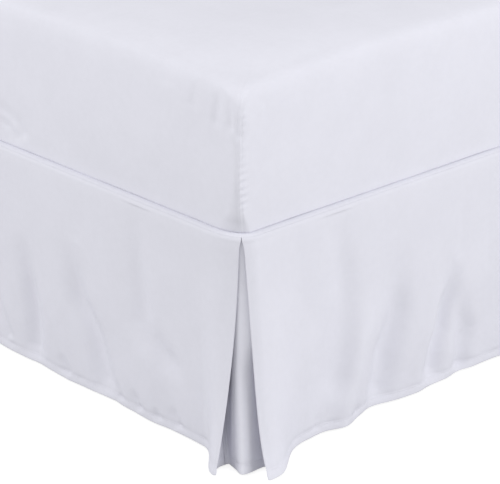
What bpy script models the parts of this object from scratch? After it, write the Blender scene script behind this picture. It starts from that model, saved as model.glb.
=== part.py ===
"""Tailored bed skirt with an inverted pleat at each foot corner, on a plain mattress and base.

X runs across the bed, Y along it with the foot at -Y, and Z is up. The origin is on the floor,
in the middle of the footprint. Everything is in metres.
"""

import math

import bmesh
import bpy
import numpy as np

COLLECTION = "bed_skirt"

# The bed that the skirt is cut for: a queen size, 60 by 80 inches
BED_WIDTH = 1.524
BED_LENGTH = 2.032
DECK_TOP = 0.400
LEG_HEIGHT = 0.190

# The plan of the bed's corners, which the seam of the skirt follows
FOOT_CORNER_ACROSS = 0.056
FOOT_CORNER_ALONG = 0.028
HEAD_CORNER = 0.030
CORNER_STEPS = 8
EDGE_STEPS = 24

# The cloth
CLOTH = 0.0010
GAP = 0.0003
SEAM_GAP = 0.00045
EDGE_ROLL = 0.0115
LAYER = 0.0018
HEM_HEIGHT = 0.004
SEAM_ANGLE = 50.0
ROLL_ANGLES = (SEAM_ANGLE, 70.0, 90.0)
DROP_SHARES = (0.10, 0.24, 0.39, 0.55, 0.70, 0.84, 0.93, 1.0)

# The corner pleats: how deep they fold back, and where they open on the rounded corner
PLEAT_DEPTH = 0.050
PLEAT_ANGLE = 61.0
PLEAT_OPENING = 0.008
PLEAT_LAP = 0.002
PLEAT_LEAD = 4
FOLD_BACK_COLUMNS = 7
HEAD_END = 0.012

# Column spacing of the drops; the deck's rim has the same columns near a pleat
NEAR_PLEAT = 0.120
NEAR_STEP = 0.012
FAR_STEP = 0.027

# How far the hem stands out from the mattress, and how it swings out at the pleats.
# "tip" is where the fold ends past the corner, "flare" what it adds there, "from" where the
# swing begins, "power" how late it opens on its way down, and "flick" the share that comes
# only in the last few centimetres above the hem.
FOOT_HEM = {"out": 0.015, "tip": -0.022, "flare": 0.060, "from": 0.070, "power": 1.8, "flick": 0.0}
SIDE_HEM = {"out": 0.026, "tip": -0.020, "flare": 0.071, "from": 0.125, "power": 1.0, "flick": 0.28}
CORNER_FADE = 0.120
FLICK_POWER = 9

# The inner folds of an open pleat at the hem, beyond the foot face and beyond the side face
FOOT_INNER_FOLD = (0.0350, 0.0140)
SIDE_INNER_FOLD = (-0.0200, 0.0580)

# The back of an open pleat at the hem: share of its width, distance beyond the foot face and
# distance beyond the side face. It wraps the corner in a soft ridge.
PLEAT_BACK = (
    (0.00, 0.0340, 0.0120),
    (0.14, 0.0350, 0.0230),
    (0.32, 0.0400, 0.0390),
    (0.46, 0.0442, 0.0505),
    (0.54, 0.0400, 0.0562),
    (0.68, 0.0250, 0.0572),
    (0.84, 0.0030, 0.0562),
    (1.00, -0.0220, 0.0570),
)
PLEAT_COLUMNS = 19

# Folds: where each meets the hem, counted from the corner; how far it stands out; its half
# width; the share of the drop at which it starts; how far it leans up the drop; and how much of
# it is left at the hem. The foot is counted from its right end, and the sides from the foot.
FOLD_NAMES = ("at", "out", "width", "start", "lean", "at_hem")
FOOT_FOLDS = (
    (0.130, -0.003, 0.026, 0.10, 0.150, 0.0),
    (0.200, 0.003, 0.040, 0.40, 0.060, 1.0),
    (0.310, -0.009, 0.026, 0.30, 0.200, 0.4),
    (0.430, 0.004, 0.040, 0.30, 0.120, 1.0),
    (0.513, -0.009, 0.024, 0.35, 0.066, 0.3),
    (0.655, -0.008, 0.030, 0.50, 0.040, 0.8),
    (0.755, 0.006, 0.042, 0.30, 0.050, 1.0),
    (0.860, -0.008, 0.030, 0.45, 0.090, 0.5),
    (0.975, 0.005, 0.040, 0.35, -0.060, 1.0),
    (1.085, -0.008, 0.028, 0.40, -0.120, 0.3),
    (1.190, 0.004, 0.036, 0.50, -0.040, 1.0),
    (1.300, -0.008, 0.026, 0.35, -0.140, 0.4),
)
RIGHT_FOLDS = (
    (0.120, 0.006, 0.040, 0.30, 0.020, 1.0),
    (0.150, -0.006, 0.034, 0.05, 0.085, 0.0),
    (0.212, 0.014, 0.030, 0.40, 0.130, 1.0),
    (0.297, -0.013, 0.030, 0.38, 0.135, 0.8),
    (0.405, 0.007, 0.036, 0.30, 0.120, 0.8),
    (0.428, -0.011, 0.020, 0.42, 0.158, 0.3),
    (0.513, -0.009, 0.020, 0.55, 0.030, 0.6),
    (0.580, -0.003, 0.040, 0.50, 0.060, 1.0),
    (0.690, 0.008, 0.044, 0.35, 0.050, 1.0),
    (0.800, -0.009, 0.030, 0.45, 0.120, 0.5),
    (0.915, 0.006, 0.040, 0.30, 0.100, 1.0),
    (1.030, -0.010, 0.030, 0.40, 0.080, 0.6),
    (1.150, 0.005, 0.044, 0.50, -0.050, 1.0),
    (1.270, -0.008, 0.028, 0.35, -0.100, 0.4),
    (1.395, 0.008, 0.040, 0.40, -0.040, 1.0),
    (1.520, -0.009, 0.030, 0.30, 0.110, 0.5),
    (1.650, 0.005, 0.042, 0.45, 0.080, 1.0),
    (1.775, -0.008, 0.030, 0.40, -0.090, 0.5),
    (1.900, 0.006, 0.040, 0.35, -0.030, 1.0),
)
LEFT_FOLDS = (
    (0.140, 0.010, 0.036, 0.35, 0.030, 1.0),
    (0.240, -0.009, 0.028, 0.40, 0.110, 0.6),
    (0.345, 0.009, 0.036, 0.30, 0.060, 1.0),
    (0.455, -0.011, 0.026, 0.45, 0.140, 0.5),
    (0.580, 0.005, 0.044, 0.40, 0.080, 1.0),
    (0.690, -0.008, 0.028, 0.35, -0.080, 0.4),
    (0.815, 0.008, 0.038, 0.30, -0.080, 1.0),
    (0.930, -0.009, 0.026, 0.50, -0.060, 0.6),
    (1.060, 0.006, 0.042, 0.35, 0.050, 1.0),
    (1.180, -0.008, 0.028, 0.40, 0.120, 0.4),
    (1.310, 0.007, 0.040, 0.45, 0.040, 1.0),
    (1.430, -0.010, 0.030, 0.30, -0.100, 0.6),
    (1.560, 0.005, 0.044, 0.50, -0.070, 1.0),
    (1.680, -0.008, 0.026, 0.35, 0.090, 0.4),
    (1.800, 0.007, 0.038, 0.40, 0.070, 1.0),
    (1.920, -0.005, 0.030, 0.45, 0.030, 0.6),
)
# The share of the drop above the hem over which a fold eases to what is left of it there
FOLD_FADE = 0.25

# The mattress in its fitted cover, from the bottom up: height, how far it is drawn in from the
# bed's edge, the share of the deck's corner rounding that it keeps, and what it adds to that
MATTRESS_RINGS = (
    (0.0000, 0.0060, 1.00, 0.000),
    (0.0016, 0.0020, 1.00, 0.000),
    (0.0060, 0.0000, 0.90, 0.000),
    (0.0200, -0.0010, 0.40, 0.003),
    (0.0700, -0.0040, 0.15, 0.004),
    (0.1500, -0.0050, 0.12, 0.005),
    (0.2150, -0.0010, 0.14, 0.009),
    (0.2420, 0.0070, 0.20, 0.019),
    (0.2580, 0.0200, 0.35, 0.034),
    (0.2665, 0.0400, 0.60, 0.055),
    (0.2705, 0.0750, 0.85, 0.083),
    (0.2720, 0.1400, 1.00, 0.120),
)
# The cover presses the mattress lower at its corners: the share of its height lost there, how
# far from the corner that reaches, and where along the sides the plan has points to follow it
CORNER_DROOP = 0.065
DROOP_REACH = 0.220
PLAN_STEPS = (0.40, 0.20)

# The base's eased edges, and the six turned legs under it
BASE_EDGE = 0.008
LEG_RADIUS_TOP = 0.030
LEG_RADIUS_FOOT = 0.022
LEG_INSET_X = 0.130
LEG_INSET_Y = 0.140
LEG_SIDES = 20

# The bed stands a little towards the head, so that the skirt's footprint is centred
FOOT_REACH = FOOT_HEM["out"] + FOOT_HEM["flare"]
HALF_WIDTH = BED_WIDTH / 2
FOOT_Y = -(BED_LENGTH - FOOT_REACH) / 2
HEAD_Y = FOOT_Y + BED_LENGTH
ROLL_CENTRE_Z = DECK_TOP - CLOTH / 2 - EDGE_ROLL


def smooth(x):
    """Smooth step: 0 below 0, 1 above 1, and 3x^2 - 2x^3 between them."""
    x = np.clip(x, 0.0, 1.0)
    return x * x * (3.0 - 2.0 * x)


def build_edge():
    """The bed's edge in plan, from the head's right end round the foot to the head's left end.

    Each foot corner is a quarter of an ellipse. Returns points, outward normals, the distance
    along the line at each point, and the distance at which the right pleat opens.
    """
    angle = np.linspace(90.0, 0.0, EDGE_STEPS + 1)
    angle_rad = np.radians(angle)
    across = HALF_WIDTH - FOOT_CORNER_ACROSS * (1.0 - np.sin(angle_rad))
    along = FOOT_Y + FOOT_CORNER_ALONG * (1.0 - np.cos(angle_rad))
    corner = np.stack([across, along], axis=1)
    facing = np.stack([FOOT_CORNER_ALONG * np.sin(angle_rad),
                       -FOOT_CORNER_ACROSS * np.cos(angle_rad)], axis=1)
    half = np.vstack([[HALF_WIDTH, HEAD_Y], corner])
    half_normal = np.vstack([[1.0, 0.0], facing])
    mirror = np.array([-1.0, 1.0])
    points = np.vstack([half, half[::-1] * mirror])
    normals = np.vstack([half_normal, half_normal[::-1] * mirror])
    normals /= np.linalg.norm(normals, axis=1)[:, None]
    steps = np.linalg.norm(np.diff(points, axis=0), axis=1)
    distance = np.concatenate([[0.0], np.cumsum(steps)])
    right_pleat = np.interp(-PLEAT_ANGLE, -angle, distance[1 : EDGE_STEPS + 2])
    return points, normals, distance, right_pleat


EDGE_POINTS, EDGE_NORMALS, EDGE_DISTANCE, RIGHT_PLEAT = build_edge()
EDGE_LENGTH = EDGE_DISTANCE[-1]


def edge_at(distance):
    """Points and unit outward normals of the bed's edge at some distances along it."""
    point = np.stack([np.interp(distance, EDGE_DISTANCE, EDGE_POINTS[:, k]) for k in (0, 1)], 1)
    normal = np.stack([np.interp(distance, EDGE_DISTANCE, EDGE_NORMALS[:, k]) for k in (0, 1)], 1)
    return point, normal / np.linalg.norm(normal, axis=1)[:, None]


def place(face, run, out):
    """Plan points at the right corner: a run along a face, and a distance out from it."""
    run, out = np.broadcast_arrays(run, out)
    if face == "foot":
        return np.stack([HALF_WIDTH - run, FOOT_Y - out], axis=-1)
    return np.stack([HALF_WIDTH + out, FOOT_Y + run], axis=-1)


def swing(run, hem):
    """How far the hem swings out near a pleat: a smooth step over the last of its run."""
    return hem["flare"] * smooth((hem["from"] - run) / (hem["from"] - hem["tip"]))


def fold_relief(run, share, folds):
    """Sum of the folds at a share of the drop: soft bells that grow, then ease at the hem."""
    relief = np.zeros_like(run)
    for row in folds:
        fold = dict(zip(FOLD_NAMES, row))
        middle = fold["at"] + fold["lean"] * (1.0 - share)
        bell = np.exp(-(((run - middle) / fold["width"]) ** 2))
        full = 1.0 - FOLD_FADE
        grown = smooth((share - fold["start"]) / (full - fold["start"]))
        eased = 1.0 - (1.0 - fold["at_hem"]) * smooth((share - full) / FOLD_FADE)
        relief += fold["out"] * bell * grown * eased
    return relief


def opening_share(share, power, flick):
    """How far a column has moved from seam to hem line at a share of the drop."""
    return (1.0 - flick) * share**power + flick * share**FLICK_POWER


def hang(distance, layer, hem_line, opening, relief=None):
    """Points of a hanging cloth, as columns by rows.

    Each column starts at the seam on the bed's edge, turns over the edge on a roll whose
    radius is its layer's, and moves from there to its place on the hem line as it drops.
    """
    seam, normal = edge_at(distance)
    rows = []
    for angle in np.radians(ROLL_ANGLES):
        plan = seam + normal * (layer * math.sin(angle))[:, None]
        rows.append(np.column_stack([plan, ROLL_CENTRE_Z + layer * math.cos(angle)]))
    start = seam + normal * layer[:, None]
    for share in DROP_SHARES:
        plan = start + (hem_line - start) * opening(share)[:, None]
        if relief is not None:
            plan = plan + relief(share)
        height = ROLL_CENTRE_Z + (HEM_HEIGHT - ROLL_CENTRE_Z) * share
        rows.append(np.column_stack([plan, np.full(len(plan), height)]))
    return np.stack(rows, axis=1)


def mirrored(points):
    """The same points on the other side of the bed."""
    return points * np.array([-1.0, 1.0, 1.0])[: points.shape[-1]]


def columns_from_pleat(length):
    """Distances from a pleat to the far end of a panel, close together near the pleat."""
    near = np.arange(0.0, NEAR_PLEAT, NEAR_STEP)
    far = np.linspace(NEAR_PLEAT, length, round((length - NEAR_PLEAT) / FAR_STEP) + 1)
    return np.concatenate([near, far])


def fold_back(face):
    """Columns of a panel's fold-back at the right corner, from its inner edge to the fold.

    At the seam it lies flat behind the panel, one layer in. At the hem it runs from the
    fold's tip to the pleat's inner fold. The last column is the middle of the bend.
    Returns the columns' distances along the edge, their layers and their hem points.
    """
    hem, away = (FOOT_HEM, 1.0) if face == "foot" else (SIDE_HEM, -1.0)
    beyond_foot, beyond_side = FOOT_INNER_FOLD if face == "foot" else SIDE_INNER_FOLD
    fold = RIGHT_PLEAT + away * PLEAT_OPENING / 2
    tip_out = hem["out"] + hem["flare"]
    depth = np.linspace(1.0, 0.0, FOLD_BACK_COLUMNS)
    tip = place(face, hem["tip"], tip_out - LAYER)
    inner = np.array([HALF_WIDTH + beyond_side, FOOT_Y - beyond_foot])
    distance = np.append(fold + away * PLEAT_DEPTH * depth, fold - away * LAYER / 2)
    layer = np.append(np.full(len(depth), EDGE_ROLL - LAYER), EDGE_ROLL - LAYER / 2)
    bend = place(face, hem["tip"] - LAYER / 2, tip_out - LAYER / 2)
    return distance, layer, np.vstack([tip + (inner - tip) * depth[:, None], bend])


def opening_of(closeness, hem):
    """How the columns open on their way down; closeness is 1 at a pleat and 0 far from it."""
    power = 1.0 + (hem["power"] - 1.0) * closeness
    flick = hem["flick"] * closeness
    return lambda share: opening_share(share, power, flick)


def side_points(folds):
    """A side drop at the right of the bed: from the head end to the pleat, then folded back."""
    fold = RIGHT_PLEAT - PLEAT_OPENING / 2
    from_pleat = columns_from_pleat(fold - HEAD_END)[::-1]
    seam, _ = edge_at(fold - from_pleat)
    closeness = np.exp(-((from_pleat / CORNER_FADE) ** 2))
    run = seam[:, 1] - FOOT_Y
    run = run + (SIDE_HEM["tip"] - run[-1]) * closeness
    back_distance, back_layer, back_hem = (part[::-1] for part in fold_back("side"))
    distance = np.concatenate([fold - from_pleat, back_distance])
    layer = np.concatenate([np.full(len(run), EDGE_ROLL), back_layer])
    hem_line = np.vstack([place("side", run, SIDE_HEM["out"] + swing(run, SIDE_HEM)), back_hem])
    closeness = np.append(closeness, np.ones(len(back_layer)))
    outward = np.concatenate([np.ones(len(run)), np.zeros(len(back_layer))])
    all_runs = np.append(run, np.full(len(back_layer), run[-1]))

    def relief(share):
        return np.outer(outward * fold_relief(all_runs, share, folds), [1.0, 0.0])

    return hang(distance, layer, hem_line, opening_of(closeness, SIDE_HEM), relief)


def foot_points():
    """The foot drop, from the right pleat to the left one, folded back at both ends."""
    fold = RIGHT_PLEAT + PLEAT_OPENING / 2
    length = EDGE_LENGTH - 2 * fold
    half = columns_from_pleat(length / 2)
    from_right = np.concatenate([half, length - half[-2::-1]])
    near_right = np.exp(-((from_right / CORNER_FADE) ** 2))
    near_left = near_right[::-1]
    seam, _ = edge_at(fold + from_right)
    run = HALF_WIDTH - seam[:, 0]
    shift = FOOT_HEM["tip"] - run[0]
    run = run + shift * near_right - shift * near_left
    out = FOOT_HEM["out"] + swing(run, FOOT_HEM) + swing(BED_WIDTH - run, FOOT_HEM)
    back_distance, back_layer, back_hem = fold_back("foot")
    distance = np.concatenate([back_distance, fold + from_right, EDGE_LENGTH - back_distance[::-1]])
    layer = np.concatenate([back_layer, np.full(len(run), EDGE_ROLL), back_layer[::-1]])
    hem_line = np.vstack([back_hem, place("foot", run, out), mirrored(back_hem[::-1])])
    ends = np.ones(len(back_layer))
    closeness = np.concatenate([ends, near_right + near_left, ends])
    outward = np.concatenate([0 * ends, np.ones(len(run)), 0 * ends])
    all_runs = np.concatenate([0 * ends, run, 0 * ends])

    def relief(share):
        return np.outer(outward * fold_relief(all_runs, share, FOOT_FOLDS), [0.0, -1.0])

    return hang(distance, layer, hem_line, opening_of(closeness, FOOT_HEM), relief)


def pleat_points():
    """The back of the right corner's pleat, from the foot's inner fold to the side's."""
    reach = PLEAT_OPENING / 2 + PLEAT_DEPTH + PLEAT_LAP
    across = np.linspace(0.0, 1.0, PLEAT_COLUMNS)
    distance = RIGHT_PLEAT + reach * (1.0 - 2.0 * across)
    layer = np.full(PLEAT_COLUMNS, EDGE_ROLL - 2 * LAYER)
    share, beyond_foot, beyond_side = np.array(PLEAT_BACK).T
    hem_line = np.column_stack([HALF_WIDTH + np.interp(across, share, beyond_side),
                                FOOT_Y - np.interp(across, share, beyond_foot)])
    ones = np.ones(PLEAT_COLUMNS)
    at_foot, at_side = opening_of(ones, FOOT_HEM), opening_of(ones, SIDE_HEM)
    side_share = across**PLEAT_LEAD

    def opening(drop):
        return (1.0 - side_share) * at_foot(drop) + side_share * at_side(drop)

    return hang(distance, layer, hem_line, opening)


def finish(name, colour, roughness):
    """A plain Principled material in linear colour."""
    material = bpy.data.materials.new(name)
    material.use_nodes = True
    shader = material.node_tree.nodes["Principled BSDF"]
    shader.inputs["Base Color"].default_value = (*colour, 1.0)
    shader.inputs["Roughness"].default_value = roughness
    shader.inputs["Metallic"].default_value = 0.0
    return material


def add_object(name, mesh_data, material, collection):
    """Turn a bmesh into a named object in the collection."""
    mesh = bpy.data.meshes.new(name)
    mesh_data.to_mesh(mesh)
    mesh_data.free()
    mesh.materials.append(material)
    part = bpy.data.objects.new(name, mesh)
    collection.objects.link(part)
    return part


def thicken(part):
    """Give a cloth its thickness, half to each side."""
    solidify = part.modifiers.new("cloth_thickness", "SOLIDIFY")
    solidify.thickness = CLOTH
    solidify.offset = 0.0
    return part


def add_cloth(name, points, material, collection):
    """A sheet over a grid of points, columns by rows, made from a flat grid."""
    columns, rows = points.shape[:2]
    sheet = bmesh.new()
    bmesh.ops.create_grid(sheet, x_segments=columns - 1, y_segments=rows - 1, size=1.0)
    for vert in sheet.verts:
        column = round((vert.co.x + 1.0) / 2.0 * (columns - 1))
        row = round((vert.co.y + 1.0) / 2.0 * (rows - 1))
        vert.co = points[column, row]
    return thicken(add_object(name, sheet, material, collection))


def add_deck(material, collection):
    """The deck: flat on the base, with its rim turned down to the seam on three sides."""
    near = PLEAT_OPENING / 2 + np.arange(0.0, NEAR_PLEAT, NEAR_STEP)
    right = np.concatenate([[0.0], RIGHT_PLEAT - near[::-1], RIGHT_PLEAT + near])
    distance = np.concatenate([right, EDGE_LENGTH - right[::-1]])
    seam, normal = edge_at(distance)
    seam_gap = math.degrees(SEAM_GAP / EDGE_ROLL)
    deck = bmesh.new()
    loops = []
    for angle in np.radians([SEAM_ANGLE - seam_gap, 25.0, 0.0]):
        plan = seam + normal * (EDGE_ROLL * math.sin(angle))
        height = ROLL_CENTRE_Z + EDGE_ROLL * math.cos(angle)
        loops.append([deck.verts.new((x, y, height)) for x, y in plan])
    for lower, upper in zip(loops, loops[1:]):
        for k in range(len(distance) - 1):
            deck.faces.new((lower[k + 1], lower[k], upper[k], upper[k + 1]))
    deck.faces.new(loops[-1][::-1])
    return thicken(add_object("deck", deck, material, collection))


def bed_outline(inset, share, extra):
    """The bed's plan drawn in by an inset, as one closed ring.

    Each corner is a quarter ellipse. Its half axes are a share of the deck's, plus an extra.
    """
    angle = np.radians(np.linspace(0.0, 90.0, CORNER_STEPS + 1))
    half, foot, head = HALF_WIDTH - inset, FOOT_Y + inset, HEAD_Y - inset
    across, along, round_head = (share * axis + extra for axis in
                                 (FOOT_CORNER_ACROSS, FOOT_CORNER_ALONG, HEAD_CORNER))
    foot_corner = np.column_stack([half - across * (1.0 - np.sin(angle)),
                                   foot + along * (1.0 - np.cos(angle))])
    head_corner = np.column_stack([half - round_head * (1.0 - np.cos(angle)),
                                   head - round_head * (1.0 - np.sin(angle))])
    steps = np.array(PLAN_STEPS)
    foot_run = np.column_stack([half - steps, np.full(len(steps), foot)])
    side_run = np.column_stack([np.full(2 * len(steps), half),
                                np.concatenate([foot + steps[::-1], head - steps])])
    head_run = np.column_stack([half - steps[::-1], np.full(len(steps), head)])
    right = np.vstack([foot_run, foot_corner, side_run, head_corner, head_run])
    return np.vstack([right, mirrored(right[::-1])])


def corner_droop(outline):
    """Share of its height that the mattress loses at points of its plan: a bell per corner."""
    from_side = HALF_WIDTH - np.abs(outline[:, 0])
    from_end = np.minimum(outline[:, 1] - FOOT_Y, HEAD_Y - outline[:, 1])
    return CORNER_DROOP * np.exp(-(from_side**2 + from_end**2) / DROOP_REACH**2)


def add_rings(name, rings, material, collection, droop_from=None):
    """A closed solid through rings of the bed's plan: height, inset, and the outline's rounding.

    With droop_from given, all rings but the last are lowered towards the corners, by a share
    of their height above it. The last one stays level and is closed with a flat face.
    """
    solid = bmesh.new()
    loops = []
    for ring in rings:
        height, *plan = ring
        outline = bed_outline(*plan)
        levels = np.full(len(outline), height)
        if droop_from is not None and ring is not rings[-1]:
            levels -= (height - droop_from) * corner_droop(outline)
        loops.append([solid.verts.new((*xy, z)) for xy, z in zip(outline, levels)])
    for lower, upper in zip(loops, loops[1:]):
        for k in range(len(lower)):
            after = (k + 1) % len(lower)
            solid.faces.new((lower[k], lower[after], upper[after], upper[k]))
    solid.faces.new(loops[0][::-1])
    solid.faces.new(loops[-1])
    return add_object(name, solid, material, collection)


def add_mattress(material, collection):
    """The mattress, a crowned block with a soft upper edge."""
    bottom = DECK_TOP + GAP
    rings = [(bottom + height, *plan) for height, *plan in MATTRESS_RINGS]
    return add_rings("mattress", rings, material, collection, droop_from=bottom)


def add_base(material, collection):
    """The base under the deck, a block with rounded edges."""
    bottom, top = LEG_HEIGHT + GAP, DECK_TOP - CLOTH - GAP
    eased = BASE_EDGE * (1.0 - math.sqrt(0.5))
    levels = (
        (bottom, BASE_EDGE),
        (bottom + eased, eased),
        (bottom + BASE_EDGE, 0.0),
        (top - BASE_EDGE, 0.0),
        (top - eased, eased),
        (top, BASE_EDGE),
    )
    rings = [(height, inset, 1.0, 0.0) for height, inset in levels]
    return add_rings("bed_base", rings, material, collection)


def add_legs(material, collection):
    """Six turned legs that widen upwards, in two rows under the base."""
    middle_y = (FOOT_Y + HEAD_Y) / 2
    number = 0
    for y in (FOOT_Y + LEG_INSET_Y, middle_y, HEAD_Y - LEG_INSET_Y):
        for x in (HALF_WIDTH - LEG_INSET_X, -HALF_WIDTH + LEG_INSET_X):
            number += 1
            leg = bmesh.new()
            bmesh.ops.create_cone(leg, cap_ends=True, segments=LEG_SIDES, radius1=LEG_RADIUS_FOOT,
                                  radius2=LEG_RADIUS_TOP, depth=LEG_HEIGHT)
            part = add_object(f"leg_{number}", leg, material, collection)
            part.location = (x, y, LEG_HEIGHT / 2)


def main():
    """Clear the scene and build the bed with its skirt."""
    for old in list(bpy.data.objects):
        bpy.data.objects.remove(old, do_unlink=True)
    collection = bpy.data.collections.new(COLLECTION)
    bpy.context.scene.collection.children.link(collection)
    cloth = finish("white_microfibre", (0.78, 0.78, 0.86), 0.75)
    cover = finish("white_fitted_cover", (0.80, 0.80, 0.88), 0.75)
    ticking = finish("ivory_ticking", (0.72, 0.71, 0.68), 0.80)
    wood = finish("birch", (0.55, 0.42, 0.28), 0.50)

    add_cloth("foot_drop", foot_points(), cloth, collection)
    add_cloth("side_drop_right", side_points(RIGHT_FOLDS), cloth, collection)
    add_cloth("side_drop_left", mirrored(side_points(LEFT_FOLDS)), cloth, collection)
    add_cloth("corner_pleat_right", pleat_points(), cloth, collection)
    add_cloth("corner_pleat_left", mirrored(pleat_points()), cloth, collection)
    add_deck(cloth, collection)
    add_mattress(cover, collection)
    add_base(ticking, collection)
    add_legs(wood, collection)


main()
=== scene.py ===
"""Looks of a tailored bed skirt with an inverted pleat at each foot corner.

The skirt hangs from the seam between a mattress and its base. Lengths are metres in the frame
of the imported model: X runs across the bed, Y along it with the foot at -Y, and Z is up.
"""

import math

import bmesh
import bpy
import numpy as np
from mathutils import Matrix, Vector


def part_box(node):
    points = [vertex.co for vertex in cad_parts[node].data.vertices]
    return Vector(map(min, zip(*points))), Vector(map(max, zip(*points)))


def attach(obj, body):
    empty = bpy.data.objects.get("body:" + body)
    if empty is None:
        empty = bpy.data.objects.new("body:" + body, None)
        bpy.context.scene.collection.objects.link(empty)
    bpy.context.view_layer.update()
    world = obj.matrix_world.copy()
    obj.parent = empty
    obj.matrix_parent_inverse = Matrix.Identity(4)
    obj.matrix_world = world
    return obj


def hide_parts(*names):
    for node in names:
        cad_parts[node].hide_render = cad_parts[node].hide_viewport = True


bl_info = {
    "name": "Tailored bed skirt",
    "version": (1, 0, 0),
    "blender": (4, 5, 0),
    "location": "View3D > Sidebar > Bed skirt",
    "description": "Builds a bed skirt with pleated corners, its mattress, base and studio",
    "category": "Object",
}

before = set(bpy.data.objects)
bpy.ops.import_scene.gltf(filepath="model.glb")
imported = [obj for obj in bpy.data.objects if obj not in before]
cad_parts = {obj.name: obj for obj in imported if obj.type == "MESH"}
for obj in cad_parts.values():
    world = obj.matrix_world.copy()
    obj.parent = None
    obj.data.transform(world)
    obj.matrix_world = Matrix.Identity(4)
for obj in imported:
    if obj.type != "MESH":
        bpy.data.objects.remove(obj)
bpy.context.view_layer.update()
TURN = 2.0 * math.pi

# The bed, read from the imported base: its edge in plan, and the level of the deck
BASE_LOW, BASE_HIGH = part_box("bed_base")
MATTRESS_LOW, MATTRESS_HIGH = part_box("mattress")
HALF_WIDTH = BASE_HIGH.x
FOOT_Y = BASE_LOW.y
HEAD_Y = BASE_HIGH.y
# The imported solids: the thickness of their cloth, and the gap that keeps two pieces apart
CLOTH = 0.0010
GAP = 0.0003
DECK_TOP = MATTRESS_LOW.z - GAP
# Points of one piece that lie closer than this are one point
WELD_REACH = 0.00001

# The plan of the bed's corners: quarter ellipses at the foot, quarter circles at the head
FOOT_CORNER_ACROSS = 0.056
FOOT_CORNER_ALONG = 0.028
HEAD_CORNER = 0.030
CORNER_POINTS = 181

# The cloth's roll over the bed's edge, and the seam between deck and drops on it
EDGE_ROLL = 0.0115
LAYER = 0.0018
SEAM_ANGLE = 50.0
SEAM_DIP = 0.0001
SEAM_GAP = 0.00012
SEAM_DIP_REACH = 5.0
ROLL_CENTRE_Z = DECK_TOP - CLOTH / 2 - EDGE_ROLL
SEAM_BULGE = 0.0016
SEAM_BULGE_REACH = 0.050
SEAM_BULGE_START = 0.010

# The corner pleats: how deep they fold back, and where they open on the rounded corner
PLEAT_DEPTH = 0.050
PLEAT_ANGLE = 61.0
PLEAT_OPENING = 0.008
PLEAT_LAP = 0.002
PLEAT_LEAD = 4
# The seam pinches an opening shut: how much each fold is drawn in there, over what distance
# from the opening's middle, and how far down
PINCH = 0.0027
PINCH_ACROSS = 0.014
PINCH_DOWN = 0.012
HEAD_END = 0.012

# How far the hem stands out from the mattress, and how it swings out at the pleats.
# "tip" is where the fold ends past the corner, "flare" what it adds there, "from" where the
# swing begins, "power" how late it opens on its way down, and "flick" the share that comes
# only in the last few centimetres above the hem. "belly" fills the swing out near the tip.
# "roll" and "sag" are the half axes of the soft loop that the fold makes at the hem, along the
# face and out from it, and "bow" is how far the fold-back behind it bends in there.
FOOT_HEM = {"out": 0.015, "tip": -0.022, "flare": 0.060, "from": 0.070, "power": 1.8,
            "flick": 0.0, "belly": 0.0, "roll": 0.006, "sag": 0.0025, "bow": 0.0055}
SIDE_HEM = {"out": 0.026, "tip": -0.020, "flare": 0.071, "from": 0.125, "power": 1.0,
            "flick": 0.28, "belly": 0.07, "roll": 0.006, "sag": 0.0025, "bow": 0.0}
CORNER_FADE = 0.120
FLICK_POWER = 9

# The inner folds of an open pleat at the hem, beyond the foot face and beyond the side face
FOOT_INNER_FOLD = (0.0350, 0.0052)
SIDE_INNER_FOLD = (-0.0200, 0.0580)

# The back of an open pleat at the hem: share of its width, distance beyond the foot face and
# distance beyond the side face. It wraps the corner in a soft ridge.
PLEAT_BACK = (
    (0.000, 0.0344, 0.0042),
    (0.070, 0.0285, 0.0090),
    (0.138, 0.0300, 0.0168),
    (0.290, 0.0345, 0.0330),
    (0.425, 0.0392, 0.0482),
    (0.460, 0.0376, 0.0512),
    (0.500, 0.0335, 0.0530),
    (0.580, 0.0250, 0.0538),
    (0.790, 0.0020, 0.0534),
    (1.000, -0.0206, 0.0576),
)
# The upper half of an open pleat's back stands out towards its side drop: by how much at some
# shares of the drop, and the shares of the pleat's width over which that comes and goes
PRESS_AT = (0.0, 0.2, 0.4, 0.6, 1.0)
PRESS_OUT = (0.0, 0.0055, 0.0095, 0.0, 0.0)
PRESS_COMES = (0.36, 0.60)
PRESS_GOES = (0.66, 1.00)
# The deep valley beside the left half of the open pleat: the way it faces, how far to the left
# of the corner it starts, how softly, the share of the pleat's width over which it fades out at
# the foot's inner fold, and its depth by height above the floor
VALLEY_AZIMUTH = 47.1
VALLEY_START = -0.0112
VALLEY_SOFTNESS = 0.0045
VALLEY_FADE = 0.05
VALLEY_HEIGHTS = (0.000, 0.012, 0.035, 0.080, 0.160, 0.240, 0.300)
VALLEY_DEPTHS = (0.000, 0.001, 0.007, 0.014, 0.014, 0.006, 0.000)

# Folds of the drops, as in the solids: where each meets the hem, counted from the corner; how
# far it stands out; its half width; the share of the drop at which it starts; how far it leans
# up the drop; and how much of it is left at the hem.
FOLD_NAMES = ("at", "out", "width", "start", "lean", "at_hem")
FOOT_FOLDS = (
    (0.130, -0.003, 0.026, 0.10, 0.150, 0.0),
    (0.200, 0.003, 0.040, 0.40, 0.060, 1.0),
    (0.310, -0.009, 0.026, 0.30, 0.200, 0.4),
    (0.430, 0.004, 0.040, 0.30, 0.120, 1.0),
    (0.513, -0.009, 0.024, 0.35, 0.066, 0.3),
    (0.655, -0.008, 0.030, 0.50, 0.040, 0.8),
    (0.755, 0.006, 0.042, 0.30, 0.050, 1.0),
    (0.860, -0.008, 0.030, 0.45, 0.090, 0.5),
    (0.975, 0.005, 0.040, 0.35, -0.060, 1.0),
    (1.085, -0.008, 0.028, 0.40, -0.120, 0.3),
    (1.190, 0.004, 0.036, 0.50, -0.040, 1.0),
    (1.300, -0.008, 0.026, 0.35, -0.140, 0.4),
)
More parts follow.
